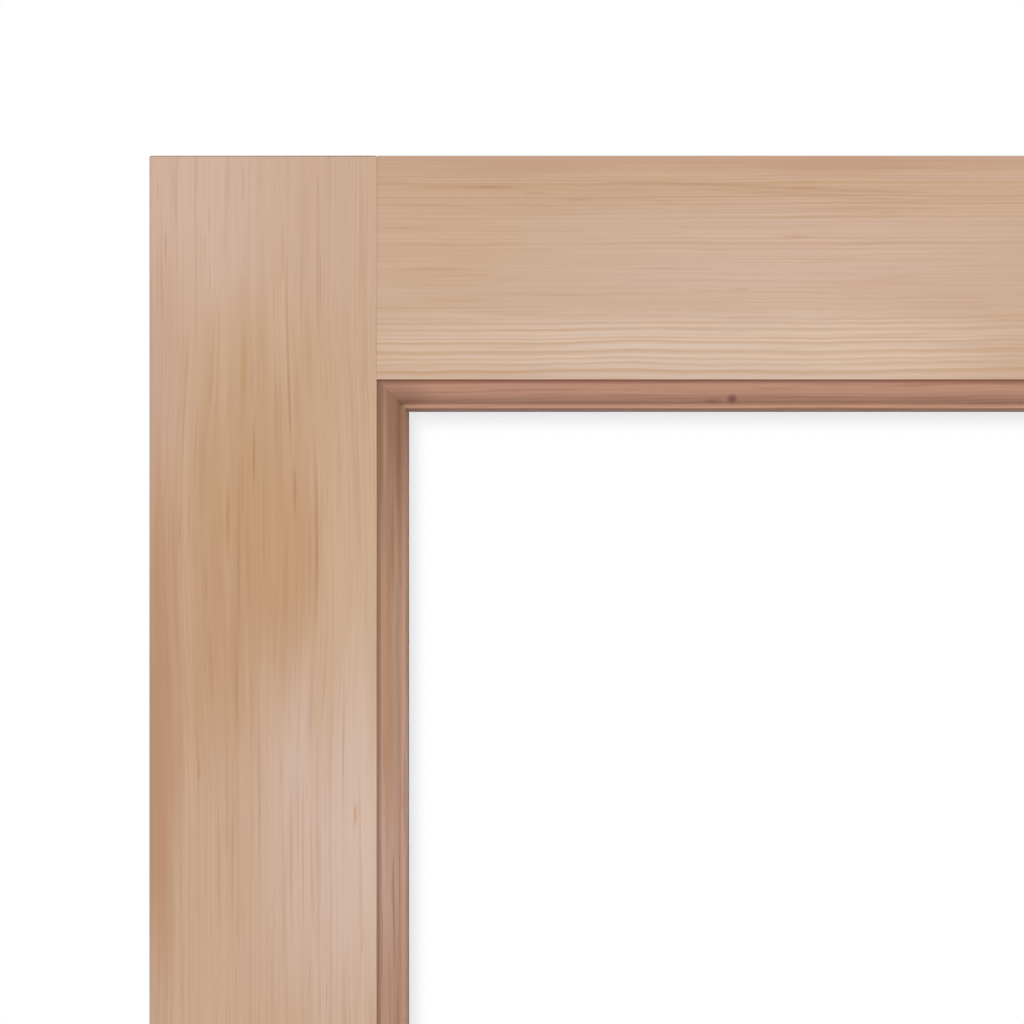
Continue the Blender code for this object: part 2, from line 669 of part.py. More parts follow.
def hinge_plate(name, steel, side, own_knuckles, parent, location, screw_length):
    """One half of a butt hinge, round the pin's axis. side is -1 for the jamb's half and 1 for the leaf's."""
    near, far = side * SIDE_GAP / 2, side * (SIDE_GAP / 2 + HINGE_PLATE)
    notch = KNUCKLE_RADIUS + KNUCKLE_CLEARANCE
    outline = rectangle((near, notch), (far, HINGE_LEAF_WIDTH))
    half = HINGE_HEIGHT / 2
    plate = add_object(name, prism(Z, outline, -half, half), steel, parent, location)
    rolls = bmesh.new()
    tangent = math.acos(abs(far) / KNUCKLE_RADIUS)
    barrel = []
    for i in range(KNUCKLE_SIDES + 1):
        turn = tangent + (2 * math.pi - tangent) * i / KNUCKLE_SIDES
        barrel.append((side * KNUCKLE_RADIUS * math.cos(turn), KNUCKLE_RADIUS * math.sin(turn)))
    body = [point for point in barrel if not (side * point[0] > side * near and point[1] > 0)]
    corner = (near, math.sqrt(KNUCKLE_RADIUS**2 - near**2))
    strap = [(far, notch - KNUCKLE_LAP), (far, notch + KNUCKLE_LAP), (near, notch + KNUCKLE_LAP)]
    for low, high in (knuckle_spans()[i] for i in own_knuckles):
        prism(Z, [corner] + body + strap, low, high, rolls)
    apply_boolean(plate, add_object(f"{name}_knuckles", rolls, None, parent, location), "UNION")
    bore = prism(Z, circle(PIN_RADIUS + PIN_CLEARANCE, ROUND_SIDES), -half - CUT_PAST, half + CUT_PAST)
    apply_boolean(plate, add_object(f"{name}_pin_bore", bore, None, parent, location))
    seat_screws(plate, X, HINGE_SCREW, hinge_screw_centres(), near, side, screw_length, HINGE_PLATE)


def hinge_heights():
    """The middle of each hinge above the floor."""
    top = LEAF_BOTTOM + LEAF_HEIGHT - HINGE_TOP_MARGIN - HINGE_HEIGHT / 2
    bottom = LEAF_BOTTOM + HINGE_BOTTOM_MARGIN + HINGE_HEIGHT / 2
    return {"top": top, "middle": (top + bottom) / 2, "bottom": bottom}


def hinge_housings(wood, side, screw_length, parent, location):
    """The shallow housings of all three hinges in one member, and then the pilot holes in their floors."""
    half = HINGE_HEIGHT / 2 + FIT
    surface = side * SIDE_GAP / 2
    floor = surface + side * (HINGE_PLATE + FIT)
    outline = rectangle((surface - side * CUT_PAST, PIN_OFFSET - CUT_PAST), (floor, HINGE_LEAF_WIDTH + FIT))
    housings = bmesh.new()
    centres = []
    for height in hinge_heights().values():
        prism(Z, outline, height - half, height + half, housings)
        centres += hinge_screw_centres(height)
    apply_boolean(wood, add_object(f"{wood.name}_hinge_housings", housings, None, parent, location))
    pilots = f"{wood.name}_hinge_pilots"
    pilot_holes(wood, pilots, X, HINGE_SCREW, centres, surface, side, screw_length, parent, location)


def hinge_pin_profile():
    """A loose pin as (radius, place) pairs: a tapered tail, a plain shank and a crowned head."""
    tail = -HINGE_HEIGHT / 2
    top = HINGE_HEIGHT / 2 + FIT
    profile = [
        (PIN_RADIUS * PIN_TAIL_TAPER, tail - PIN_TAIL),
        (PIN_RADIUS, tail - PIN_TAIL / 2),
        (PIN_RADIUS, top),
    ]
    profile += [(PIN_HEAD_RADIUS * across, top + PIN_HEAD_HEIGHT * up) for across, up in PIN_CROWN]
    return profile


def build_hinges(axis, steel, jamb, stile):
    """Three butt hinges, each with a jamb half, a leaf half and a loose pin."""
    for label, height in hinge_heights().items():
        on_jamb = (AXIS_X, AXIS_Y, height)
        hinge_plate(f"{label}_hinge_jamb_half", steel, -1, (0, 2, 4), None, on_jamb, JAMB_SCREW_LENGTH)
        hinge_plate(f"{label}_hinge_leaf_half", steel, 1, (1, 3), axis, (0, 0, height), LEAF_SCREW_LENGTH)
        pin = turned(Z, hinge_pin_profile(), (0, 0), ROUND_SIDES)
        add_object(f"{label}_hinge_pin", pin, steel, None, on_jamb)
    hinge_housings(jamb, -1, JAMB_SCREW_LENGTH, None, (AXIS_X, AXIS_Y, 0))
    hinge_housings(stile, 1, LEAF_SCREW_LENGTH, axis, (0, 0, 0))


# Ball catch


def build_catch(axis, brass, steel, stile):
    """A sprung ball in a barrel, behind a face plate in the leaf's latch edge."""
    middle = LEAF_THICKNESS / 2
    centre = (middle, CATCH_HEIGHT)
    edge = LEAF_WIDTH
    half_width, half_height = PLATE_WIDTH / 2, PLATE_HEIGHT / 2
    plate_low = (middle - half_width, CATCH_HEIGHT - half_height)
    plate_high = (middle + half_width, CATCH_HEIGHT + half_height)
    outline = prism(X, rectangle(plate_low, plate_high), edge - PLATE_THICKNESS, edge)
    plate = leaf_piece("catch_face_plate", outline, steel, axis)
    ball_middle = edge + BALL_REACH - BALL_RADIUS
    mouth_radius = ball_section(BALL_REACH) + MOUTH_CLEARANCE
    mouth = [
        (BALL_RADIUS + BALL_CLEARANCE, edge - PLATE_THICKNESS - CUT_PAST),
        (BALL_RADIUS + BALL_CLEARANCE, edge - PLATE_THICKNESS + FIT),
        (mouth_radius, edge),
        (mouth_radius, edge + CUT_PAST),
    ]
    apply_boolean(plate, leaf_cutter("catch_mouth", turned(X, mouth, centre, ROUND_SIDES), axis))
    spots = [(middle, CATCH_HEIGHT + lift) for lift in (-PLATE_SCREW_SPREAD, PLATE_SCREW_SPREAD)]
    seat_screws(plate, X, PLATE_SCREW, spots, edge, -1, PLATE_SCREW_LENGTH, PLATE_THICKNESS)
    barrel_end = edge - PLATE_THICKNESS - FIT
    barrel_start = barrel_end - BARREL_LENGTH
    bore_radius = BALL_RADIUS + BALL_CLEARANCE
    barrel_radius = bore_radius + BARREL_WALL
    cup = prism(X, circle(barrel_radius, ROUND_SIDES, centre), barrel_start, barrel_end)
    barrel = leaf_piece("catch_barrel", cup, brass, axis)
    hollow = circle(bore_radius, ROUND_SIDES, centre)
    hollow = prism(X, hollow, barrel_start + BARREL_FLOOR, barrel_end + CUT_PAST)
    apply_boolean(barrel, leaf_cutter("catch_barrel_bore", hollow, axis))
    housing = prism(X, grown(plate_low, plate_high, FIT), edge - PLATE_THICKNESS - FIT, edge + CUT_PAST)
    apply_boolean(stile, leaf_cutter("catch_mortise", housing, axis))
    bore = circle(barrel_radius + FIT, ROUND_SIDES, centre)
    apply_boolean(stile, leaf_cutter("catch_bore", prism(X, bore, barrel_start - FIT, edge), axis))
    pilot_holes(stile, "catch_pilots", X, PLATE_SCREW, spots, edge, -1, PLATE_SCREW_LENGTH, axis, LEAF_CORNER)
    slide = empty("ball_slide_axis", [a + b for a, b in zip(LEAF_CORNER, (ball_middle, *centre))], axis)
    add_object("catch_ball", ball_shape(), steel, slide)
    spring_end = ball_middle - math.sqrt(BALL_RADIUS**2 - SPRING_RADIUS**2) - SPRING_WIRE_RADIUS - FIT
    spring_start = barrel_start + BARREL_FLOOR + FIT + SPRING_WIRE_RADIUS
    leaf_piece("catch_spring", spring_shape(centre, spring_start, spring_end), steel, axis)


def ball_section(reach):
    """The ball's radius where it passes a face that its tip stands this far beyond."""
    return math.sqrt(BALL_RADIUS**2 - (BALL_RADIUS - reach) ** 2)


def ball_shape():
    """A sphere from rings about X, with a small flat at each pole."""
    profile = []
    steps = ROUND_SIDES // 2
    for i in range(steps + 1):
        turn = math.pi * (i + BALL_POLE) / (steps + 2 * BALL_POLE)
        profile.append((BALL_RADIUS * math.sin(turn), -BALL_RADIUS * math.cos(turn)))
    return turned(X, profile, (0, 0), ROUND_SIDES)


def spring_shape(centre, start, end):
    """A compression spring: a round wire swept along a helix about X."""
    steps = SPRING_STEPS * SPRING_TURNS
    rings = []
    for i in range(steps + 1):
        turn = 2 * math.pi * i / SPRING_STEPS
        outward = (math.cos(turn), math.sin(turn))
        place = start + (end - start) * i / steps
        ring = []
        for k in range(SPRING_WIRE_SIDES):
            angle = 2 * math.pi * k / SPRING_WIRE_SIDES
            radius = SPRING_RADIUS + SPRING_WIRE_RADIUS * math.cos(angle)
            along = place + SPRING_WIRE_RADIUS * math.sin(angle)
            ring.append((along, centre[0] + radius * outward[0], centre[1] + radius * outward[1]))
        rings.append(ring)
    return skin(bmesh.new(), rings)


def build_strike(steel, jamb):
    """The strike on the latch jamb: a plate with a hole for the ball and a lip that leads it in."""
    face = OPENING_WIDTH / 2
    ball_y = OUTSIDE_Y + LEAF_THICKNESS / 2
    height = LEAF_BOTTOM + CATCH_HEIGHT
    half_width, half_height = PLATE_WIDTH / 2, PLATE_HEIGHT / 2
    plate_low = (ball_y - half_width, height - half_height)
    plate_high = (ball_y + half_width, height + half_height)
    outline = prism(X, rectangle(plate_low, plate_high), face, face + PLATE_THICKNESS)
    strike = add_object("strike_plate", outline, steel)
    lip_root = ball_y - half_width + LIP_LAP
    bend_start = OUTSIDE_Y - FIT
    near, far = [(face, lip_root)], [(face + PLATE_THICKNESS, lip_root)]
    for i in range(LIP_STEPS + 1):
        turn = math.radians(LIP_ANGLE) * i / LIP_STEPS
        along = bend_start - LIP_RADIUS * math.sin(turn)
        near.append((face + LIP_RADIUS * (1 - math.cos(turn)), along))
        inner = LIP_RADIUS - PLATE_THICKNESS
        far.append((face + LIP_RADIUS - inner * math.cos(turn), bend_start - inner * math.sin(turn)))
    section = near + list(reversed(far))
    lip = prism(Z, section, height - LIP_WIDTH / 2, height + LIP_WIDTH / 2)
    apply_boolean(strike, add_object("strike_lip", lip), "UNION")
    hole_radius = ball_section(BALL_REACH - SIDE_GAP) + STRIKE_CLEARANCE
    hole = circle(hole_radius, ROUND_SIDES, (ball_y, height))
    through = prism(X, hole, face - CUT_PAST, face + PLATE_THICKNESS + CUT_PAST)
    apply_boolean(strike, add_object("strike_hole", through))
    spots = [(ball_y, height + lift) for lift in (-PLATE_SCREW_SPREAD, PLATE_SCREW_SPREAD)]
    seat_screws(strike, X, PLATE_SCREW, spots, face, 1, PLATE_SCREW_LENGTH, PLATE_THICKNESS)
    depth = face + PLATE_THICKNESS + FIT
    mortise = prism(X, grown(plate_low, plate_high, FIT), face - CUT_PAST, depth)
    apply_boolean(jamb, add_object("strike_mortise", mortise))
    half_lip = LIP_WIDTH / 2 + FIT
    channel = rectangle((OUTSIDE_Y - CUT_PAST, height - half_lip), (ball_y, height + half_lip))
    apply_boolean(jamb, add_object("strike_lip_channel", prism(X, channel, face - CUT_PAST, depth)))
    pocket = circle(hole_radius + FIT, ROUND_SIDES, (ball_y, height))
    apply_boolean(jamb, add_object("strike_pocket", prism(X, pocket, face, face + STRIKE_POCKET_DEPTH)))
    pilot_holes(jamb, "strike_pilots", X, PLATE_SCREW, spots, face, 1, PLATE_SCREW_LENGTH, None, (0, 0, 0))


# Jamb


def build_jamb(fir, zinc):
    """The two legs, the head, the threshold and the three stops. Returns the two legs."""
    half = OPENING_WIDTH / 2
    depth = JAMB_DEPTH / 2
    back_left, back_right = -half - JAMB_THICKNESS, half + JAMB_THICKNESS
    left = eased(rectangle((back_left, -depth), (-half, depth)))
    right = eased(rectangle((half, -depth), (back_right, depth)))
    hinge_jamb = add_object("hinge_jamb", prism(Z, left, 0, FRAME_TOP), fir)
    latch_jamb = add_object("latch_jamb", prism(Z, right, 0, FRAME_TOP), fir)
    head_half = half + HEAD_HOUSING
    head = eased(rectangle((-depth, HEAD_UNDERSIDE), (depth, FRAME_TOP)))
    head_jamb = add_object("head_jamb", prism(X, head, -head_half + FIT, head_half - FIT), fir)
    housing = rectangle((-depth - CUT_PAST, HEAD_UNDERSIDE - FIT), (depth + CUT_PAST, FRAME_TOP + CUT_PAST))
    cutter = add_object("head_housing", prism(X, housing, -head_half, head_half))
    apply_boolean(hinge_jamb, cutter)
    apply_boolean(latch_jamb, cutter)
    saddle = [
        (-depth, 0),
        (depth, 0),
        (depth, THRESHOLD_NOSE),
        (depth - THRESHOLD_SLOPE, THRESHOLD_HEIGHT),
        (-depth + THRESHOLD_SLOPE, THRESHOLD_HEIGHT),
        (-depth, THRESHOLD_NOSE),
    ]
    threshold = add_object("threshold", prism(X, saddle, -half + FIT, half - FIT), fir)
    build_stops(fir)
    legs = {"hinge": hinge_jamb, "latch": latch_jamb}
    build_frame_screws(zinc, legs, {"top": head_jamb, "bottom": threshold})
    return hinge_jamb, latch_jamb


def build_stops(fir):
    """Plain stops that the closed leaf rests against, on both legs and the head."""
    half = OPENING_WIDTH / 2
    front, back = STOP_FRONT, STOP_FRONT + STOP_WIDTH
    high = HEAD_UNDERSIDE - FIT
    low = high - STOP_THICKNESS
    head = rounded([(front, high, 0), (front, low, STOP_ROUND), (back, low, STOP_ROUND), (back, high, 0)])
    add_object("head_stop", prism(X, head, -half + FIT, half - FIT), fir)
    for name, side in (("hinge_side_stop", -1), ("latch_side_stop", 1)):
        wall = side * (half - FIT)
        inner = side * (half - FIT - STOP_THICKNESS)
        corners = [(wall, front, 0), (inner, front, STOP_ROUND), (inner, back, STOP_ROUND), (wall, back, 0)]
        add_object(name, prism(Z, rounded(corners), THRESHOLD_HEIGHT + FIT, low - FIT), fir)


def build_frame_screws(zinc, legs, rails):
    """Two screws at each corner, driven through the leg into the head or the threshold."""
    heights = {"top": (HEAD_UNDERSIDE + FRAME_TOP) / 2, "bottom": FRAME_SCREW_FROM_FLOOR}
    outside = OPENING_WIDTH / 2 + JAMB_THICKNESS
    head, shank = FRAME_SCREW
    for level, height in heights.items():
        for side, sign in (("hinge", -1), ("latch", 1)):
            for number, along in ((1, -FRAME_SCREW_SPREAD), (2, FRAME_SCREW_SPREAD)):
                centre = (along, height)
                start = sign * (outside - SCREW_SUNK)
                name = f"frame_screw_{level}_{side}_{number}"
                profile = screw_profile(FRAME_SCREW, start, -sign, FRAME_SCREW_LENGTH)
                screw = add_object(name, turned(X, profile, centre, SCREW_SIDES), zinc)
                drive = drive_recess(X, FRAME_SCREW, centre, start, -sign)
                apply_boolean(screw, add_object(f"{name}_drive", drive))
                seat = [
                    (head + FIT, start + sign * CUT_PAST),
                    (head + FIT, start - sign * FIT),
                    (shank + FIT, start - sign * (head_depth(FRAME_SCREW) + FIT)),
                    (shank + FIT, start - sign * (FRAME_SCREW_LENGTH + FIT)),
                ]
                bore = add_object(f"{name}_bore", turned(X, seat, centre, SCREW_SIDES))
                apply_boolean(legs[side], bore)
                apply_boolean(rails[level], bore)


def main():
    for old in list(bpy.data.objects):
        bpy.data.objects.remove(old)
    fir = material("clear_fir", (0.61, 0.42, 0.30), 0.55)
    red_fir = material("bead_fir", (0.42, 0.23, 0.16), 0.5)
    cedar = material("pull_cedar", (0.38, 0.19, 0.12), 0.45)
    beech = material("dowel_beech", (0.62, 0.47, 0.32), 0.6)
    steel = material("satin_steel", (0.56, 0.55, 0.53), 0.32, metallic=1.0)
    brass = material("catch_brass", (0.62, 0.47, 0.22), 0.35, metallic=1.0)
    spacer = material("spacer_aluminium", (0.70, 0.71, 0.72), 0.4, metallic=1.0)
    black = material("glazing_tape", (0.02, 0.02, 0.022), 0.7)
    rubber = material("setting_block_rubber", (0.03, 0.03, 0.03), 0.8)
    glass = material("clear_glass", (0.95, 0.98, 0.97), 0.02, transmission=1.0)
    zinc = material("zinc_screw", (0.60, 0.57, 0.48), 0.35, metallic=1.0)

    axis = empty("leaf_swing_axis", (AXIS_X, AXIS_Y, 0))
    axis.rotation_euler = (0, 0, -math.radians(OPEN_ANGLE))

    hinge_jamb, latch_jamb = build_jamb(fir, zinc)
    members = build_stiles_and_rails(axis, fir)
    build_dowels(axis, beech, members)
    build_beads(axis, red_fir)
    build_glass(axis, glass, spacer, black, rubber)
    build_pulls(axis, cedar, brass, members)
    build_hinges(axis, steel, hinge_jamb, members["hinge_stile"])
    build_catch(axis, brass, steel, members["latch_stile"])
    build_strike(steel, latch_jamb)


main()
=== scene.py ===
"""The looks of a prehung sauna door: clear fir, redder mouldings, sealed glass and satin steel.

World frame, in metres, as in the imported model: Z is up, X runs across the doorway and Y through the wall.
The leaf stands open, square to its jamb, and the camera looks at the top latch corner of its inside face.
"""

import json
import math

import bmesh
import bpy
import numpy as np
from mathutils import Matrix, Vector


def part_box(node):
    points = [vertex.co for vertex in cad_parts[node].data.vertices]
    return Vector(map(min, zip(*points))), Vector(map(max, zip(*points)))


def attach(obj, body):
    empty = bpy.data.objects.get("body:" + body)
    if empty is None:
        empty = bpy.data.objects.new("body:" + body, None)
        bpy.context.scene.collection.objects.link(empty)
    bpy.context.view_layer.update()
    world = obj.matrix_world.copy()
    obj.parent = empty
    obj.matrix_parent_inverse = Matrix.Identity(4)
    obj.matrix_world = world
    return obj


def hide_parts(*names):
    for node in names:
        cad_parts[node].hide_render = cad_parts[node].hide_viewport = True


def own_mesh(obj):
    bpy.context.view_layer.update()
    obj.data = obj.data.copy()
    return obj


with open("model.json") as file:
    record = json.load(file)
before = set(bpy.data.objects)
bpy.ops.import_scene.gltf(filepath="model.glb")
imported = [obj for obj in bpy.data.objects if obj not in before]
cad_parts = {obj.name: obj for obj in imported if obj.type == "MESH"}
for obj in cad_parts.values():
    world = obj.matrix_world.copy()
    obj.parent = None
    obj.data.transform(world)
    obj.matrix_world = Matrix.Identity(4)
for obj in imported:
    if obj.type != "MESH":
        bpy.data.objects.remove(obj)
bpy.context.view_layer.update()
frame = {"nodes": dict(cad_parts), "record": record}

MM = 0.001
NODES = frame["nodes"]
BODY_OF = {node: body for body, group in frame["record"]["behaviour"]["bodies"].items() for node in group}
SLOT_OF = {row["node"]: row["material_slot"] for row in frame["record"]["subparts"]}

# The leaf's photographed face, worked out from the frame
STILE_LOW, STILE_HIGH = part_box("latch_stile")
FACE_X = STILE_HIGH.x
LATCH_EDGE_Y = STILE_LOW.y
LEAF_TOP_Z = STILE_HIGH.z
HINGE_EDGE_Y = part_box("hinge_stile")[1].y

# The rabbet that holds the glass and its beads: its four walls
STICKING_WIDTH = 14.2875 * MM
RABBET_LEFT = STILE_HIGH.y - STICKING_WIDTH
RABBET_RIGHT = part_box("hinge_stile")[0].y + STICKING_WIDTH
RABBET_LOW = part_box("bottom_rail")[1].z - STICKING_WIDTH
RABBET_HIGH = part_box("top_rail")[0].z + STICKING_WIDTH

# Camera: level and square to the face
CAMERA_DISTANCE = 3.2
VIEW_WIDTH = 0.4646  # what the picture's width covers on the face
VIEW_LEFT_OF_EDGE = 0.0677  # from the picture's left side to the latch edge
VIEW_ABOVE_TOP = 0.07055  # from the picture's top to the leaf's top
SENSOR_MM = 36.0

# Studio: white surroundings, a floor and two square lamps
DIFFUSE_SKY = 0.625  # how bright the white surroundings are for light that has left a dull surface
FLOOR_HALF = 3.6
FLOOR_Z = -0.4 * MM  # just below the threshold's underside, so that the two never share a plane
FLOOR_FULL_TO = 0.9  # the floor thins out from this far from the middle
FLOOR_GONE_AT = 3.3
KEY = {"location": (3.4, 1.3, 4.0), "size": 2.0, "power": 92.0}
KEY_AIM = 0.2  # how far in from the leaf's top and its latch edge the key is aimed
FILL = {"location": (-3.6, -2.6, 2.6), "size": 2.5, "power": 70.0}
FILL_AIM = (0, -0.3, 1.0)

# Section of the glazing beads: a step, a quarter ellipse, a fillet and a drawn-in edge
STICKING_STEP = 1.4 * MM
OVOLO_START = 0.9 * MM
OVOLO_WIDTH = 9.8 * MM
OVOLO_DEPTH = 7.2 * MM
FILLET_WIDTH = 2.2 * MM
OVOLO_STEPS = 24
BEAD_STATIONS = 60
TIGHT_GAP = 0.03 * MM  # what shows between two glued or pinned pieces of wood
SANDED = 0.14 * MM  # the round that sanding leaves on the beads' sharp edges

# Copies of the solids, dressed for the eye
GLUED_UP = 0.27 * MM  # how far a rail's end is carried, so that the solids' 0.3 mm gap becomes TIGHT_GAP
END_CHAMFER = 0.6 * MM  # the arris taken off the end grain of the stiles and the jamb legs
SMOOTH_UP_TO = math.radians(32)  # two faces that turn by less are one curve, and by more an edge
MERGED_WITHIN = 0.004 * MM
FLAT_WITHIN = math.radians(0.4)
NEAR_RAIL_END = 0.1 * MM  # points this near a rail's end belong to it
NEAR_END_FACE = 0.05 * MM  # a face this near a board's end, and as square to it as END_FACING, is its end
END_FACING = 0.999

# How many points the stretches of a pull's outline and its rounded arris have
PULL_CURVE = 25
PULL_FLAT = 12
PULL_ARRIS = 9

TURN_TO_GRAIN = {"X": (0, math.pi / 2, 0), "Y": (-math.pi / 2, 0, 0), "Z": (0, 0, 0)}
GRAIN_VECTOR = {"X": (1, 0, 0), "Y": (0, 1, 0), "Z": (0, 0, 1)}
THROUGH = 1.0  # a patch's depth that runs through the whole board
ENDLESS = 9.0  # a streak's half length, so long that it hardly fades along a bead
FIGURE_DEPTH = 60 * MM  # how far behind the face the photographed figure fades out
SPOT_CORE = 0.15  # the share of a spot's radius that has its full strength
RAGGEDNESS = 1.2  # how far the grain's noise moves a patch's edge, in shares of its radius
FLECK_REACH = 1.4  # the half width of a slanting line's flecks, in steps from one to the next
MIX_A, MIX_B, MIX_RESULT = 6, 7, 2  # the colour sockets of a Mix node

# Sizes of the wood's noises, in millimetres across the grain and along it
WAVE_CELL = (60.0, 90.0)
DRIFT_CELL = (90.0, 420.0)
BROAD_CELL = (9.0, 160.0)
STREAK_CELL = (1.9, 85.0)
SPECK_CELL = (1.1, 30.0)
FIBRE_CELL = (0.9, 120.0)

# Between which values of its noise each kind of figure comes in
TAN_DRIFT = (0.42, 0.66)
PINK_DRIFT = (0.45, 0.68)
RINGS_SHOW = (0.3, 0.62)
STREAKS_SHOW = (0.5, 0.72)
SPECKS_SHOW = (0.6, 0.74)

# Growth rings
YEARS_CHANGE = 0.21  # how often wide and narrow years take turns, for each ring
YEARS_SWING = 3.2  # how many rings that moves the count by at most
FAINTEST_RING = 0.35  # its weight, where the darkest ring has 1
WOOD_DARKENS = (0.2, 0.8)  # from which share of a year's growth to which
YEAR_ENDS = (1.0, 0.86)  # the short fall back to the next year's pale wood

# Tone and relief of the planed wood
BROAD_IN_TONE = 0.6  # the broad noise's weight beside the fibres'
TONE_NOISE = (0.5, 1.1)  # between which values the two together change the tone
END_GRAIN_FACING = (0.35, 0.85)  # how far a face looks along the grain, from side grain to end grain
END_GRAIN_TONE = 0.55  # open ends soak up the finish and turn darker
RINGS_IN_RELIEF = 0.5
GRAIN_DEPTH = 0.06 * MM
THIN_FINISH = 0.32  # the specular level of wood with a thin matt or oil finish

# Straight lines on the latch stile, beside its bead
STRIP_SPACING = 1.05 * MM
STRIP_STRENGTH = 0.024

# Painted shade in a bead's step and painted light on its fillet, measured in from its rabbet wall
QUIRK_MIDDLE = 0.9 * MM
QUIRK_HALF_WIDTH = 1.9 * MM
QUIRK_STRENGTH = 0.75
FILLET_MIDDLE = 11.6 * MM

# The painted grey shade beside the beads on the glass, measured in from the sight line
SHADE_FULL = -2 * MM
SHADE_GONE = 9 * MM
SHADE_CORNER = 6 * MM  # how softly it goes round a corner
SHADE_LEVELS = 0.8  # a distance from a level bead counts for less, so that its shade reaches further


def linear(code):
    """An sRGB hex colour as linear RGBA."""
    channels = np.array([int(code[i : i + 2], 16) for i in (0, 2, 4)]) / 255
    values = np.where(channels <= 0.04045, channels / 12.92, ((channels + 0.055) / 1.055) ** 2.4)
    return (*values.tolist(), 1.0)


def add(tree, kind, inputs=None, **settings):
    """Adds one node with its settings. Each input takes a value, a socket or a node's first output."""
    made = tree.nodes.new(kind)
    for name, value in settings.items():
        setattr(made, name, value)
    for socket, value in (inputs or {}).items():
        if isinstance(value, bpy.types.Node):
            value = value.outputs[0]
        if isinstance(value, bpy.types.NodeSocket):
            tree.links.new(value, made.inputs[socket])
        else:
            made.inputs[socket].default_value = value
    return made


def new_material(name, **sockets):
    """A material with its Principled shader; what is the same all over is set on the shader's own sockets."""
    made = bpy.data.materials.new(name)
    made.use_nodes = True
    shader = made.node_tree.nodes["Principled BSDF"]
    for socket, value in sockets.items():
        shader.inputs[socket.replace("_", " ")].default_value = value
    return made, made.node_tree, shader


def layered(tree, colour, layers):
    """Lays (share, colour) layers over a colour, each where its share says."""
    for share, shade in layers:
        mixed = add(tree, "ShaderNodeMix", {0: share, MIX_A: colour, MIX_B: linear(shade)}, data_type="RGBA")
        colour = mixed.outputs[MIX_RESULT]
    return colour


def share_above(tree, value, low, high, most):
    """Rises smoothly from 0 at low to most at high."""
    return add(
        tree,
        "ShaderNodeMapRange",
        {"Value": value, "From Min": low, "From Max": high, "To Max": most},
        interpolation_type="SMOOTHSTEP",
    )


def remapped(tree, value, source, target):
    """Carries a value evenly from one range to another."""
    ends = {"From Min": source[0], "From Max": source[1], "To Min": target[0], "To Max": target[1]}
    return add(tree, "ShaderNodeMapRange", {"Value": value, **ends})


# Wood


def bowed(tree, place, middle, radii, share):
    """Bows the grain out to both sides of a point, as it grows round a hidden branch.

    Y's distance from the middle is divided by 1 + a spot, so that a straight streak is bowed on the face.
    """
    parts = add(tree, "ShaderNodeSeparateXYZ", {"Vector": place})
    bow = add(tree, "ShaderNodeMath", {0: spot(tree, place, middle, radii, share), 1: 1.0}, operation="ADD")
    offset = add(tree, "ShaderNodeMath", {0: parts.outputs["Y"], 1: middle[1]}, operation="SUBTRACT")
    drawn = add(tree, "ShaderNodeMath", {0: offset, 1: bow}, operation="DIVIDE")
    across = add(tree, "ShaderNodeMath", {0: drawn, 1: middle[1]}, operation="ADD")
    bent = {"X": parts.outputs["X"], "Y": across, "Z": parts.outputs["Z"]}
    return add(tree, "ShaderNodeCombineXYZ", bent).outputs[0]


def bowed_place(centre, bow):
    """Where bowed takes a point of the board, so that a fleck keeps its own place on the face."""
    if not bow:
        return centre
    middle, radii, share = bow
    far = math.hypot(*((a - b) / radius for a, b, radius in zip(centre, middle, radii)))
    near = min(1.0, max(0.0, (1 - far) / (1 - SPOT_CORE)))
    drawn = middle[1] + (centre[1] - middle[1]) / (1 + share * near * near * (3 - 2 * near))
    return centre[0], drawn, centre[2]


def spot(tree, place, centre, radii, strength, ragged=0.0):
    """A soft ellipsoid about a point: strength in its middle and 0 past its radii, with a ragged edge."""
    shaped = add(
        tree,
        "ShaderNodeMapping",
        {"Vector": place, "Location": centre, "Scale": radii},
        vector_type="TEXTURE",
    )
    far = add(tree, "ShaderNodeVectorMath", {0: shaped}, operation="LENGTH").outputs["Value"]
    uneven = add(tree, "ShaderNodeMath", {0: far, 1: ragged}, operation="ADD")
    return share_above(tree, uneven, 1.0, SPOT_CORE, strength)


def along_grain(tree, board, width, length, detail=2.0):
    """Noise drawn out along the grain, in cells of so many millimetres across it and along it."""
    scale = (1 / (width * MM), 1 / (width * MM), 1 / (length * MM))
    scaled = add(tree, "ShaderNodeVectorMath", {0: board, 1: scale}, operation="MULTIPLY")
    shape = {"Vector": scaled, "Scale": 1.0, "Detail": detail, "Roughness": 0.55}
    return add(tree, "ShaderNodeTexNoise", shape)


def waved(tree, board, waver):
    """Wavers the board's places across the grain by up to half of waver millimetres, in waves of 90 mm."""
    waves = along_grain(tree, board, *WAVE_CELL, detail=3.0).outputs["Color"]
    centred = add(tree, "ShaderNodeVectorMath", {0: waves, 1: (0.5, 0.5, 0.5)}, operation="SUBTRACT")
    moved = {0: centred, 1: (waver * MM, waver * MM, 0), 2: board}
    return add(tree, "ShaderNodeVectorMath", moved, operation="MULTIPLY_ADD").outputs[0]


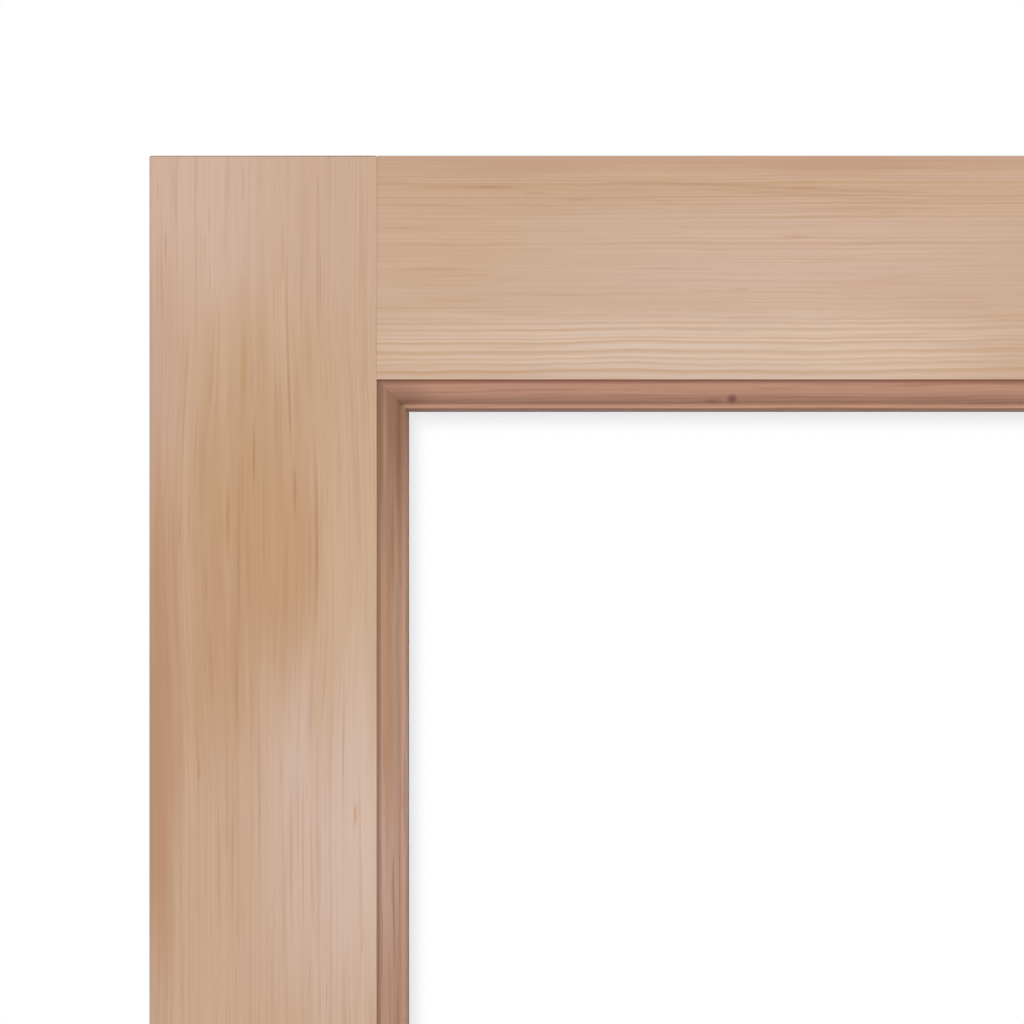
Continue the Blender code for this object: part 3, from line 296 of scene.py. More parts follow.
def late_wood(tree, board, ring):
    """The dark end of each growth ring, 0 to 1, with another weight for each ring.

    The rings are cylinders about the board's Z axis, ring millimetres wide, and a noise makes wide and
    narrow years.
    """
    across = add(tree, "ShaderNodeVectorMath", {0: board, 1: (1, 1, 0)}, operation="MULTIPLY")
    radius = add(tree, "ShaderNodeVectorMath", {0: across}, operation="LENGTH").outputs["Value"]
    count = add(tree, "ShaderNodeMath", {0: radius, 1: ring * MM}, operation="DIVIDE")
    slow = {"W": count, "Scale": YEARS_CHANGE, "Detail": 1.0}
    pace = add(tree, "ShaderNodeTexNoise", slow, noise_dimensions="1D")
    years = add(tree, "ShaderNodeMath", {0: pace, 1: YEARS_SWING, 2: count}, operation="MULTIPLY_ADD")
    phase = add(tree, "ShaderNodeMath", {0: years}, operation="FRACT")
    number = add(tree, "ShaderNodeMath", {0: years}, operation="FLOOR")
    each = add(tree, "ShaderNodeTexWhiteNoise", {"W": number}, noise_dimensions="1D")
    weight = add(tree, "ShaderNodeMapRange", {"Value": each, "To Min": FAINTEST_RING, "To Max": 1.0})
    rise = share_above(tree, phase, *WOOD_DARKENS, 1.0)
    fall = share_above(tree, phase, *YEAR_ENDS, 1.0)
    line = add(tree, "ShaderNodeMath", {0: rise, 1: fall}, operation="MULTIPLY")
    return add(tree, "ShaderNodeMath", {0: line, 1: weight}, operation="MULTIPLY")


def straight_strip(tree, place, tone, low, full, high):
    """Fine even lines, a sine of Y, which come up from low to full and stop at high.

    Returns the tone with them worked in.
    """
    across = add(tree, "ShaderNodeSeparateXYZ", {"Vector": place}).outputs["Y"]
    turns = add(tree, "ShaderNodeMath", {0: across, 1: 2 * math.pi / STRIP_SPACING}, operation="MULTIPLY")
    wave = add(tree, "ShaderNodeMath", {0: turns}, operation="SINE")
    inside = share_above(tree, across, low, full, STRIP_STRENGTH)
    past = add(tree, "ShaderNodeMath", {0: across, 1: high}, operation="LESS_THAN")
    amount = add(tree, "ShaderNodeMath", {0: inside, 1: past}, operation="MULTIPLY")
    return add(tree, "ShaderNodeMath", {0: wave, 1: amount, 2: tone}, operation="MULTIPLY_ADD")


def timber(name, grain, pith, colours, ring=1.7, lean=(0.4, 0.3), waver=3.0, rings=0.4, fibre=0.035,
           streaks=0.4, specks=0.25, drifts=0.6, patches=(), flecks=(), bands=(), bow=None, strip=None,
           roughness=0.58):
    """Planed softwood, as a solid pattern in the whole board.

    The growth rings are cylinders about the pith, a line along the grain through the point pith, which lean
    tilts by degrees. Fibres, streaks and specks are noises drawn out along the grain. colours are the early
    wood, the late wood, a tan drift, a pink drift and the streaks. patches, which have ragged edges, and
    flecks are (colour, centre, radii, strength). bands are (centre, radii, strength) where the rings show
    more. bow is (middle, radii, share) for bowed, and strip a range of Y with fine straight lines.
    """
    early, late, tan, blush, streak = colours
    made, tree, shader = new_material(name, Roughness=roughness, Specular_IOR_Level=THIN_FINISH)
    source = add(tree, "ShaderNodeTexCoord")
    place = source.outputs["Object"]
    flow = bowed(tree, place, *bow) if bow else place
    turn = [a + math.radians(b) for a, b in zip(TURN_TO_GRAIN[grain], (*lean, 0))]
    to_board = {"Vector": flow, "Location": pith, "Rotation": turn}
    board = waved(tree, add(tree, "ShaderNodeMapping", to_board, vector_type="TEXTURE"), waver)

    drift = along_grain(tree, board, *DRIFT_CELL).outputs["Color"]
    drifting = add(tree, "ShaderNodeSeparateColor", {"Color": drift}).outputs
    broad = along_grain(tree, board, *BROAD_CELL)
    streaky = along_grain(tree, board, *STREAK_CELL)
    speckled = along_grain(tree, board, *SPECK_CELL)
    fibrous = along_grain(tree, board, *FIBRE_CELL)
    ragged = add(tree, "ShaderNodeMath", {0: broad, 1: 0.5}, operation="SUBTRACT").outputs[0]
    ragged = add(tree, "ShaderNodeMath", {0: ragged, 1: RAGGEDNESS}, operation="MULTIPLY").outputs[0]
    shown = share_above(tree, drifting["Blue"], *RINGS_SHOW, rings).outputs[0]
    for where in bands:
        shown = add(tree, "ShaderNodeMath", {0: shown, 1: spot(tree, place, *where)}).outputs[0]
    normals = {0: source.outputs["Normal"], 1: GRAIN_VECTOR[grain]}
    facing = add(tree, "ShaderNodeVectorMath", normals, operation="DOT_PRODUCT").outputs["Value"]
    end_on = add(tree, "ShaderNodeMath", {0: facing}, operation="ABSOLUTE")
    shown = add(tree, "ShaderNodeMath", {0: shown, 1: end_on, 2: shown}, operation="MULTIPLY_ADD")
    years = {0: late_wood(tree, board, ring), 1: shown}
    rings_share = add(tree, "ShaderNodeMath", years, operation="MULTIPLY")

    # Colour, from the slowest change to the finest
    layers = [
        (share_above(tree, drifting["Red"], *TAN_DRIFT, drifts), tan),
        (share_above(tree, drifting["Green"], *PINK_DRIFT, drifts), blush),
    ]
    layers += [(spot(tree, place, *where, ragged), shade) for shade, *where in patches]
    layers += [
        (rings_share, late),
        (share_above(tree, streaky, *STREAKS_SHOW, streaks), streak),
        (share_above(tree, speckled, *SPECKS_SHOW, specks), late),
    ]
    layers += [(spot(tree, flow, bowed_place(centre, bow), *size), shade) for shade, centre, *size in flecks]
    colour = layered(tree, linear(early), layers)

    both = add(tree, "ShaderNodeMath", {0: broad, 1: BROAD_IN_TONE, 2: fibrous}, operation="MULTIPLY_ADD")
    tone = remapped(tree, both, TONE_NOISE, (1 - fibre, 1 + fibre))
    if strip:
        tone = straight_strip(tree, place, tone, *strip)
    end_grain = remapped(tree, end_on, END_GRAIN_FACING, (1.0, END_GRAIN_TONE))
    shaded = add(tree, "ShaderNodeMath", {0: tone, 1: end_grain}, operation="MULTIPLY")
    final = add(tree, "ShaderNodeVectorMath", {0: colour, "Scale": shaded}, operation="SCALE")
    tree.links.new(final.outputs[0], shader.inputs["Base Color"])

    raised = {0: rings_share, 1: RINGS_IN_RELIEF, 2: fibrous}
    relief = add(tree, "ShaderNodeMath", raised, operation="MULTIPLY_ADD")
    bump = add(tree, "ShaderNodeBump", {"Strength": 0.25, "Distance": GRAIN_DEPTH, "Height": relief})
    tree.links.new(bump.outputs[0], shader.inputs["Normal"])
    return made


# Colours of the woods: early wood, late wood, tan drift, pink drift and streaks
CLEAR_FIR = ("CDAD93", "B58A64", "C29D77", "CBA58E", "B68C68")
RAIL_FIR = ("CDAF98", "C0966E", "C6A384", "CBAA97", "C0997A")
BEAD_FIR = ("C2937B", "966450", "B98B68", "C08F7F", "9C6B52")
UPRIGHT_BEAD_FIR = ("B68E72", "8E6750", "B2885F", "B69282", "94694E")
JAMB_FIR = ("CFAF92", "B58B64", "C39E78", "CBA58E", "B28761")
CEDAR = ("A87458", "774630", "A06A45", "B07A66", "6F3F2B")
BEECH = ("D9BD98", "C7A57C", "D3B48C", "D9B89A", "BF9A72")


def on_face(from_edge, from_top, half_width, half_height, strength):
    """A spot of the leaf's photographed face, in millimetres from its latch edge and its top."""
    centre = (FACE_X, LATCH_EDGE_Y + from_edge * MM, LEAF_TOP_Z - from_top * MM)
    return centre, (FIGURE_DEPTH, half_width * MM, half_height * MM), strength


def face(shade, *where):
    """A patch or fleck of the photographed face: a spot in its own colour."""
    return shade, *on_face(*where)


def falling_line(shade, start, end, pieces, half_height, strength):
    """A growth line that runs at a slant: flecks that overlap, evenly spaced from start to end.

    start and end are (from_edge, from_top) in millimetres. Each fleck reaches past its neighbours' middles.
    """
    half_width = FLECK_REACH * (end[0] - start[0]) / (pieces - 1)
    line = []
    for i in range(pieces):
        share = i / (pieces - 1)
        from_edge = start[0] + share * (end[0] - start[0])
        from_top = start[1] + share * (end[1] - start[1])
        line.append(face(shade, from_edge, from_top, half_width, half_height, strength))
    return line


def latch_stile_wood():
    """The photographed stile: pinkish at its top, tan and bowed in its middle, redder at its latch edge."""
    patches = [
        face("D4B5A2", 25, 15, 55, 85, 0.9),
        face("CEAE99", 78, 15, 45, 85, 0.8),
        face("CAAA8D", 52, 98, 75, 45, 0.7),
        face("C59E79", 45, 172, 60, 118, 1.0),
        face("C49C78", 30, 240, 36, 75, 0.8),
        face("CEAE91", 93, 190, 26, 110, 0.9),
        face("D6B9A8", 84, 315, 62, 112, 1.0),
        face("DBC0AF", 97, 300, 16, 110, 0.6),
        face("CDAA90", 34, 322, 34, 90, 0.7),
        face("CCA793", 4, 100, 22, 75, 0.9),
        face("BE9274", 1, 265, 19, 170, 1.0),
        face("C49A73", 66, 180, 22, 50, 0.5),
    ]
    flecks = [
        face("B2826E", 7.4, 41, 0.9, 11, 0.4),
        face("BB9168", 25, 42, 0.9, 9, 0.29),
        face("C09A72", 27, 29, 1.3, 9, 0.25),
        face("C4A077", 34, 38, 1.8, 11, 0.29),
        face("B7886C", 42.6, 13, 0.9, 11, 0.32),
        face("B4836C", 60.6, 43, 0.8, 19, 0.36),
        face("C09A74", 70, 29, 4.5, 38, 0.25),
        face("B98B69", 77.7, 60, 0.8, 24, 0.4),
        face("B2845B", 62.8, 86, 1.0, 52, 0.47),
        face("BC9068", 72.2, 90, 2.6, 28, 0.32),
        face("BA9058", 43, 99, 1.8, 30, 0.36),
        face("B48A5C", 46.5, 103, 1.0, 20, 0.36),
        face("B38660", 57.4, 118, 1.0, 26, 0.36),
        face("AE8058", 63.7, 113, 1.0, 24, 0.43),
        face("A5764C", 47.4, 136, 0.9, 21, 0.47),
        face("B08356", 42.4, 152, 0.9, 24, 0.36),
        face("AC7A50", 35.6, 165, 1.1, 25, 0.5),
        face("AC7F52", 40.6, 179, 0.9, 58, 0.47),
        face("B18862", 21, 133, 0.9, 32, 0.36),
        face("B47D64", 13.8, 170, 0.9, 15, 0.36),
        face("B58560", 17.9, 166, 0.9, 18, 0.32),
        face("B4835C", 25.6, 195, 1.1, 16, 0.4),
        face("AA7350", 66, 152, 0.9, 19, 0.5),
        face("B07C55", 76, 172, 1.2, 54, 0.58),
        face("B88A62", 73, 181, 1.0, 40, 0.36),
        face("B88A62", 62, 190, 0.9, 30, 0.32),
        face("B28A5E", 52, 165, 0.9, 40, 0.29),
        face("AA8656", 39.7, 243, 0.9, 34, 0.43),
        face("B5885C", 27.9, 231, 1.8, 26, 0.32),
        face("B28A62", 34, 212, 0.9, 30, 0.29),
        face("BC9472", 79.6, 236, 0.8, 28, 0.36),
        face("BF9A7C", 88, 262, 0.8, 34, 0.29),
        face("B88455", 22.5, 279, 1.0, 7, 0.43),
        face("BC9274", 60, 279, 0.8, 9, 0.36),
        face("BF9680", 70, 330, 0.8, 30, 0.25),
        face("BE8558", 93.5, 299, 1.0, 8, 0.5),
        face("BA9070", 38, 311, 0.8, 12, 0.36),
    ]
    branch = (FACE_X, LATCH_EDGE_Y + 50 * MM, LEAF_TOP_Z - 175 * MM)
    pith = (FACE_X - 0.06, LATCH_EDGE_Y - 0.12, 1.0)
    strip = (LATCH_EDGE_Y + 58 * MM, LATCH_EDGE_Y + 96 * MM, LATCH_EDGE_Y + 103.2 * MM)
    return timber("clear_fir_latch_stile", "Z", pith, CLEAR_FIR, ring=1.35, lean=(0.15, 0.1), waver=2.0,
                  rings=0.3, streaks=0.3, specks=0.2, drifts=0.15, patches=patches, flecks=flecks,
                  bow=(branch, (THROUGH, 60 * MM, 125 * MM), 0.22), strip=strip)


def top_rail_wood():
    """The photographed rail: fine lines over most of it, and broad cream and tan rings along its bottom.

    The pith lies behind the face near the rail's bottom, so the rings are cut flat and lie wide there. Near
    its top two growth lines drop to the right.
    """
    patches = [
        face("C8A78D", 230, 12, 400, 16, 0.8),
        face("C39E84", 230, 2, 400, 9, 0.8),
        face("BE9A7E", 157, 5, 45, 7, 0.5),
        face("BE9478", 308, 5, 48, 7, 0.45),
        face("CAAA8F", 130, 42, 75, 55, 0.85),
        face("D3B5A2", 290, 48, 120, 36, 0.7),
        face("D5B89B", 125, 90, 55, 24, 0.7),
        face("DBC2AE", 240, 88, 190, 26, 0.9),
        face("DBC0AA", 330, 88, 80, 24, 0.8),
    ]
    flecks = [
        *falling_line("AC8462", (222, 12.0), (345, 16.8), 8, 0.9, 0.3),
        *falling_line("B48B6C", (262, 15.4), (345, 20.7), 6, 0.8, 0.28),
        face("B58055", 297, 14.5, 12, 1.0, 0.35),
        face("B98F66", 334, 26, 8, 1.2, 0.25),
        face("BF9568", 294, 36.8, 12, 1.0, 0.45),
        face("BC9377", 268, 60.6, 6, 0.8, 0.4),
        face("C09A7C", 237, 51.3, 22, 0.7, 0.4),
        face("B78C68", 142, 14.4, 40, 1.0, 0.45),
        face("AF8460", 155, 14.2, 14, 1.1, 0.45),
        face("B78E6C", 175, 17, 9, 0.9, 0.4),
        face("BA9270", 195, 20, 12, 0.9, 0.45),
        face("BC9670", 121, 22.7, 18, 0.9, 0.4),
        face("BC9670", 114, 33, 16, 0.8, 0.4),
        face("C08E68", 130, 51.3, 20, 0.8, 0.45),
        face("BE9A7C", 162, 39.8, 18, 0.7, 0.35),
        face("BE9672", 130, 58.8, 34, 0.8, 0.4),
    ]
    bands = [on_face(230, 90, 500, 24, 0.42), on_face(230, 15, 500, 12, 0.25)]
    pith = (FACE_X - 0.062, LATCH_EDGE_Y + 0.28, LEAF_TOP_Z - 0.122)
    return timber("clear_fir_top_rail", "Y", pith, RAIL_FIR, ring=1.35, lean=(0.2, 0.3), waver=2.4, rings=0.5,
                  fibre=0.04, streaks=0.35, specks=0.25, drifts=0.2, patches=patches, flecks=flecks,
                  bands=bands)


def painted_shading_along_bead(shade, upright, middle, half_width, strength):
    """A band of painted shading, lighter or darker, that runs the whole length of an upright or a level bead,
    about one place across it.
    """
    if upright:
        return shade, (FACE_X, middle, 1.0), (THROUGH, half_width, ENDLESS), strength
    return shade, (FACE_X, 0.0, middle), (THROUGH, ENDLESS, half_width), strength


def painted_fillet_light(shade, upright, wall, inwards, half_width, strength):
    """The bead's fillet, made lighter than its hollow by painted light. half_width is in millimetres."""
    return painted_shading_along_bead(shade, upright, wall + inwards * FILLET_MIDDLE, half_width * MM, strength)


def painted_quirk_shade(shade, upright, wall, inwards):
    """Painted shade: the dark line in a bead's step."""
    return painted_shading_along_bead(shade, upright, wall + inwards * QUIRK_MIDDLE, QUIRK_HALF_WIDTH, QUIRK_STRENGTH)


def bead_woods():
    """The glazing beads' redder fir, upright and level, with painted shade and light. The top bead has a pin
    knot.
    """
    upright_patches_and_painted_shading = [
        face("C1A08B", 112.3, 225, 3, 75, 0.7),
        face("C3A08F", 108, 318, 13, 60, 0.75),
        face("AE815D", 108.7, 240, 4, 130, 0.6),
        # Painted shade: a dark line in each upright bead's step
        painted_quirk_shade("8C6450", True, RABBET_LEFT, 1),
        painted_quirk_shade("8C6450", True, RABBET_RIGHT, -1),
        # Painted light on the upright beads' fillets
        painted_fillet_light("C9A288", True, RABBET_LEFT, 1, 2.6, 0.5),
        painted_fillet_light("C9A288", True, RABBET_RIGHT, -1, 2.6, 0.5),
        face("CBB1A3", 116, 285, 2, 60, 0.6),
        # Painted shade over the upright bead near the top latch corner
        face("86624A", 109, 112, 26, 105, 0.85),
        # Painted shade that widens the step's dark line near the corner
        face("8D6448", 105, 135, 1.7, 60, 0.8),
        # Painted highlight on the ovolo near the corner
        face("C29276", 106.9, 130, 1.4, 45, 0.5),
        # Painted shade on the fillet near the corner
        face("8B6548", 115.2, 122, 3.4, 50, 0.6),
    ]
    level_patches_and_painted_shading = [
        # Painted shade: a dark line in each level bead's step
        painted_quirk_shade("94604E", False, RABBET_HIGH, -1),
        painted_quirk_shade("94604E", False, RABBET_LOW, 1),
        # Painted light on the level beads' fillets
        painted_fillet_light("D6A488", False, RABBET_HIGH, -1, 2.3, 0.85),
        painted_fillet_light("D6A488", False, RABBET_LOW, 1, 2.3, 0.85),
        # Painted shade on the top bead near the latch corner
        face("8A6550", 110, 110, 22, 14, 0.5),
    ]
    knot = (FACE_X - 6 * MM, LATCH_EDGE_Y + 264.6 * MM, LEAF_TOP_Z - 110.2 * MM)
    tail = (knot[0], knot[1] - 9 * MM, knot[2] - 1.2 * MM)
    flecks = [
        ("84524A", knot, (12 * MM, 3.4 * MM, 3.0 * MM), 0.9),
        ("926052", tail, (12 * MM, 6 * MM, 1.5 * MM), 0.5),
    ]
    upright = timber("moulded_fir_uprights", "Z", (FACE_X - 0.04, -0.2, 0.9), UPRIGHT_BEAD_FIR, ring=1.6,
                     rings=0.4, fibre=0.05, streaks=0.6, patches=upright_patches_and_painted_shading, roughness=0.5)
    level = timber("moulded_fir_levels", "Y", (FACE_X - 0.05, -0.3, 1.7), BEAD_FIR, ring=1.5, rings=0.35,
                   fibre=0.04, streaks=0.45, patches=level_patches_and_painted_shading, flecks=flecks, roughness=0.5)
    return upright, level


def make_woods():
    """One finish for each board, because every board was cut from another place in its log.

    The point of each is its pith, which sets how the saw cut its rings.
    """
    upright, level = bead_woods()
    hinge_middle = HINGE_EDGE_Y - 60 * MM
    return {
        # Clear fir, planed: soft tan with a pink cast, and fine lines along the grain
        "latch_stile": latch_stile_wood(),
        "hinge_stile": timber("clear_fir_hinge_stile", "Z", (FACE_X - 0.13, hinge_middle, 0.6), CLEAR_FIR,
                              ring=1.8, waver=4.0),
        "top_rail": top_rail_wood(),
        "bottom_rail": timber("clear_fir_bottom_rail", "Y", (FACE_X - 0.12, -0.4, 0.16), CLEAR_FIR,
                              lean=(0.4, 1.0), waver=4.0, rings=0.5),
        # Fir worked with a moulding cutter: redder, with painted shade in its step and painted light on its
        # fillet
        "bead_upright": upright,
        "bead_level": level,
        # Jamb fir, planed: a little yellower than the leaf, with an even grain
        "hinge_jamb": timber("jamb_fir_hinge_leg", "Z", (-0.20, 0.03, 0.8), JAMB_FIR, ring=1.8),
        "latch_jamb": timber("jamb_fir_latch_leg", "Z", (0.22, -0.02, 1.2), JAMB_FIR, lean=(-0.3, 0.4)),
        "head_jamb": timber("jamb_fir_head", "X", (0.1, 0.02, 1.95), JAMB_FIR, ring=1.8),
        "threshold": timber("jamb_fir_threshold", "X", (0.0, 0.01, -0.11), JAMB_FIR, rings=0.5),
        "hinge_side_stop": timber("jamb_fir_stops", "Z", (0.0, 0.09, 0.8), JAMB_FIR, ring=1.6),
        "head_stop": timber("jamb_fir_head_stop", "X", (0.0, 0.09, 2.0), JAMB_FIR, ring=1.6),
        # Cedar, sanded and oiled: warm red-brown with close dark lines and a soft sheen
        "pulls": timber("oiled_cedar_pulls", "Z", (-0.27, -0.57, 1.0), CEDAR, ring=1.3, lean=(0.8, 0.5),
                        rings=0.6, fibre=0.06, roughness=0.42),
        # Beech, turned: pale and close-grained
        "dowels": timber("turned_beech", "Y", (-0.27, -0.4, 1.0), BEECH, ring=1.2),
    }


# Other finishes


def metal(name, code, dark, roughness, cell, lines):
    """A bare metal. cell is its surface pattern's size in millimetres along X, Y and Z, and lines its depth.

    A cell that is long one way is brushed that way, and an even cell is a cloudy plating. The roughness
    follows the pattern, from 0.08 less than the given one to 0.1 more.
    """
    made, tree, shader = new_material(name, Metallic=1.0)
    place = add(tree, "ShaderNodeTexCoord").outputs["Object"]
    scale = [1 / (size * MM) for size in cell]
    scaled = add(tree, "ShaderNodeVectorMath", {0: place, 1: scale}, operation="MULTIPLY")
    grit = add(tree, "ShaderNodeTexNoise", {"Vector": scaled, "Scale": 1.0, "Detail": 3.0, "Roughness": 0.6})
    share = remapped(tree, grit, (0.3, 0.75), (0.0, 1.0))
    tree.links.new(layered(tree, linear(code), [(share, dark)]), shader.inputs["Base Color"])
    rough = remapped(tree, grit, (0.0, 1.0), (roughness - 0.08, roughness + 0.1))
    tree.links.new(rough.outputs[0], shader.inputs["Roughness"])
    bump = add(tree, "ShaderNodeBump", {"Strength": lines, "Distance": 0.03 * MM, "Height": grit})
    tree.links.new(bump.outputs[0], shader.inputs["Normal"])
    return made


def black_compound(name, code, worn, grain_size, roughness):
    """Black rubber or sealant, with a fine matt grain and faint paler rubbing in clouds, 60 to the metre."""
    made, tree, shader = new_material(name, Roughness=roughness)
    place = add(tree, "ShaderNodeTexCoord").outputs["Object"]
    grit = add(tree, "ShaderNodeTexNoise", {"Vector": place, "Scale": 1 / (grain_size * MM), "Detail": 2.0})
    cloud = add(tree, "ShaderNodeTexNoise", {"Vector": place, "Scale": 60.0, "Detail": 2.0})
    share = add(tree, "ShaderNodeMath", {0: grit, 1: cloud}, operation="MULTIPLY")
    tree.links.new(layered(tree, linear(code), [(share, worn)]), shader.inputs["Base Color"])
    bump = add(tree, "ShaderNodeBump", {"Strength": 0.3, "Distance": 0.05 * MM, "Height": grit})
    tree.links.new(bump.outputs[0], shader.inputs["Normal"])
    return made


def float_glass(name):
    """Clear low-iron float glass, with a painted soft grey shade beside the beads."""
    made, tree, shader = new_material(name, Roughness=0.0, IOR=1.5, Transmission_Weight=1.0)
    place = add(tree, "ShaderNodeTexCoord").outputs["Object"]
    middle = (0.0, (RABBET_LEFT + RABBET_RIGHT) / 2, (RABBET_LOW + RABBET_HIGH) / 2)
    half_width = (RABBET_RIGHT - RABBET_LEFT) / 2 - STICKING_WIDTH
    half_height = (RABBET_HIGH - RABBET_LOW) / 2 - STICKING_WIDTH
    offset = add(tree, "ShaderNodeVectorMath", {0: place, 1: middle}, operation="SUBTRACT")
    away = add(tree, "ShaderNodeVectorMath", {0: offset}, operation="ABSOLUTE")
    parts = add(tree, "ShaderNodeSeparateXYZ", {"Vector": away})
    across = add(tree, "ShaderNodeMath", {0: half_width, 1: parts.outputs["Y"]}, operation="SUBTRACT")
    upright = add(tree, "ShaderNodeMath", {0: half_height, 1: parts.outputs["Z"]}, operation="SUBTRACT")
    deeper = add(tree, "ShaderNodeMath", {0: upright, 1: SHADE_LEVELS}, operation="MULTIPLY")
    nearest = add(tree, "ShaderNodeMath", {0: across, 1: deeper, 2: SHADE_CORNER}, operation="SMOOTH_MIN")
    clear = share_above(tree, nearest, SHADE_FULL, SHADE_GONE, 1.0)
    tree.links.new(layered(tree, linear("F0F0F2"), [(clear, "FFFFFF")]), shader.inputs["Base Color"])
    return made


def studio_floor(name):
    """A pale matt floor that thins out evenly, so that it melts into the white background."""
    made, tree, shader = new_material(name, Roughness=0.9, Specular_IOR_Level=0.1)
    place = add(tree, "ShaderNodeTexCoord").outputs["Object"]
    far = add(tree, "ShaderNodeVectorMath", {0: place}, operation="LENGTH").outputs["Value"]
    there = share_above(tree, far, FLOOR_GONE_AT, FLOOR_FULL_TO, 1.0)
    mottle = add(tree, "ShaderNodeTexNoise", {"Vector": place, "Scale": 3.0, "Detail": 2.0})
    tree.links.new(layered(tree, linear("EFEEEC"), [(mottle, "EAE9E7")]), shader.inputs["Base Color"])
    tree.links.new(there.outputs[0], shader.inputs["Alpha"])
    return made


# Pieces


def add_piece(name, points, faces, node, finish, sanded=0.0):
    """Puts a numpy surface in the scene in place of a CAD node, on that node's body, with the finish it is
    given.
    """
    mesh = bpy.data.meshes.new(name)
    mesh.from_pydata(points.reshape(-1, 3).tolist(), [], faces)
    mesh.update()
    mesh.materials.append(finish)
    turn_outwards(mesh)
    stand_for(bpy.data.objects.new(name, mesh), node, sanded, points.shape[1])


def turn_outwards(mesh):
    """Turns every face of a closed mesh outwards."""
    shape = bmesh.new()
    shape.from_mesh(mesh)
    bmesh.ops.recalc_face_normals(shape, faces=shape.faces)
    shape.to_mesh(mesh)
    shape.free()


def sand_long_edges(piece, width, around):
    """Rounds the sharp edges that run along a piece, but not those round its ends, so its mitres stay tight.

    around is how many points each of its stations has, so an edge along it joins two stations.
    """
    mesh = piece.data
    ends = np.empty(2 * len(mesh.edges), dtype=np.int32)
    mesh.edges.foreach_get("vertices", ends)
    station = ends.reshape(-1, 2) // around
    sharp = np.empty(len(mesh.edges), dtype=bool)
    mesh.attributes["sharp_edge"].data.foreach_get("value", sharp)
    long_and_sharp = sharp & (station[:, 0] != station[:, 1])
    weight = mesh.attributes.new("bevel_weight_edge", "FLOAT", "EDGE")
    weight.data.foreach_set("value", long_and_sharp.astype(np.float32))
    bevel = piece.modifiers.new("sanded_edges", "BEVEL")
    bevel.limit_method = "WEIGHT"
    bevel.width = width
    bevel.segments = 2


def stand_for(piece, node, sanded=0.0, around=1):
    """Shades a new piece smoothly over its curves, and lets it ride and stand for its CAD node.

    sanded rounds its long sharp edges by so much. Weighted normals keep flat faces flat beside a small round.
    """
    bpy.context.scene.collection.objects.link(piece)
    piece.data.shade_smooth()
    piece.data.set_sharp_from_angle(angle=SMOOTH_UP_TO)
    if sanded:
        sand_long_edges(piece, sanded, around)
    steady = piece.modifiers.new("flat_faces_stay_flat", "WEIGHTED_NORMAL")
    steady.keep_sharp = True
    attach(piece, BODY_OF[node])
    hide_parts(node)
    return piece


def grid_faces(rings, around):
    """Quads between rings of equally many points, which close round, with a flat face on each end."""
    first = np.arange(rings - 1)[:, None] * around
    step = np.arange(around)[None, :]
    here, following = first + step, first + (step + 1) % around
    quads = np.stack([here, following, following + around, here + around], axis=-1).reshape(-1, 4).tolist()
    return quads + [list(range(around))[::-1], list(range((rings - 1) * around, rings * around))]


def bead_section():
    """The bead's closed section, as (distance from the rabbet wall, depth below the face) columns.

    From the wall it goes along the step, down a quarter ellipse to the fillet, in to the sight line and back.
    """
    turn = np.linspace(0, math.pi / 2, OVOLO_STEPS + 1)
    across = OVOLO_START + OVOLO_WIDTH * np.sin(turn)
    depth = STICKING_STEP + OVOLO_DEPTH * (1 - np.cos(turn))
    back = FACE_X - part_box("glazing_bead_latch")[0].x
    fillet = (OVOLO_START + OVOLO_WIDTH + FILLET_WIDTH, STICKING_STEP + OVOLO_DEPTH)
    wall = [(TIGHT_GAP, back), (TIGHT_GAP, STICKING_STEP)]
    return np.array([*wall, *zip(across, depth), fillet, (STICKING_WIDTH, back)])


def build_beads(upright, level):
    """The four mitred beads. The section runs along each side, and its ends lie in the mitres' planes."""
    across, depth = bead_section().T
    shape = (BEAD_STATIONS, len(across))
    share = np.linspace(0, 1, BEAD_STATIONS)[:, None]

    def run(start, end):
        """Places along the run, for every station and every point of the section."""
        first = start + across + TIGHT_GAP
        return first + (end - start - 2 * (across + TIGHT_GAP)) * share

    out = np.broadcast_to(FACE_X - depth, shape)
    near = np.broadcast_to(across, shape)
    tall, broad = run(RABBET_LOW, RABBET_HIGH), run(RABBET_LEFT, RABBET_RIGHT)
    sides = {
        "latch": (out, RABBET_LEFT + near, tall, upright),
        "hinge": (out, RABBET_RIGHT - near, tall, upright),
        "top": (out, broad, RABBET_HIGH - near, level),
        "bottom": (out, broad, RABBET_LOW + near, level),
    }
    for side, (x, y, z, finish) in sides.items():
        points = np.stack([x, y, z], axis=-1)
        faces = grid_faces(*shape)
        add_piece(f"moulded_bead_{side}", points, faces, f"glazing_bead_{side}", finish, SANDED)


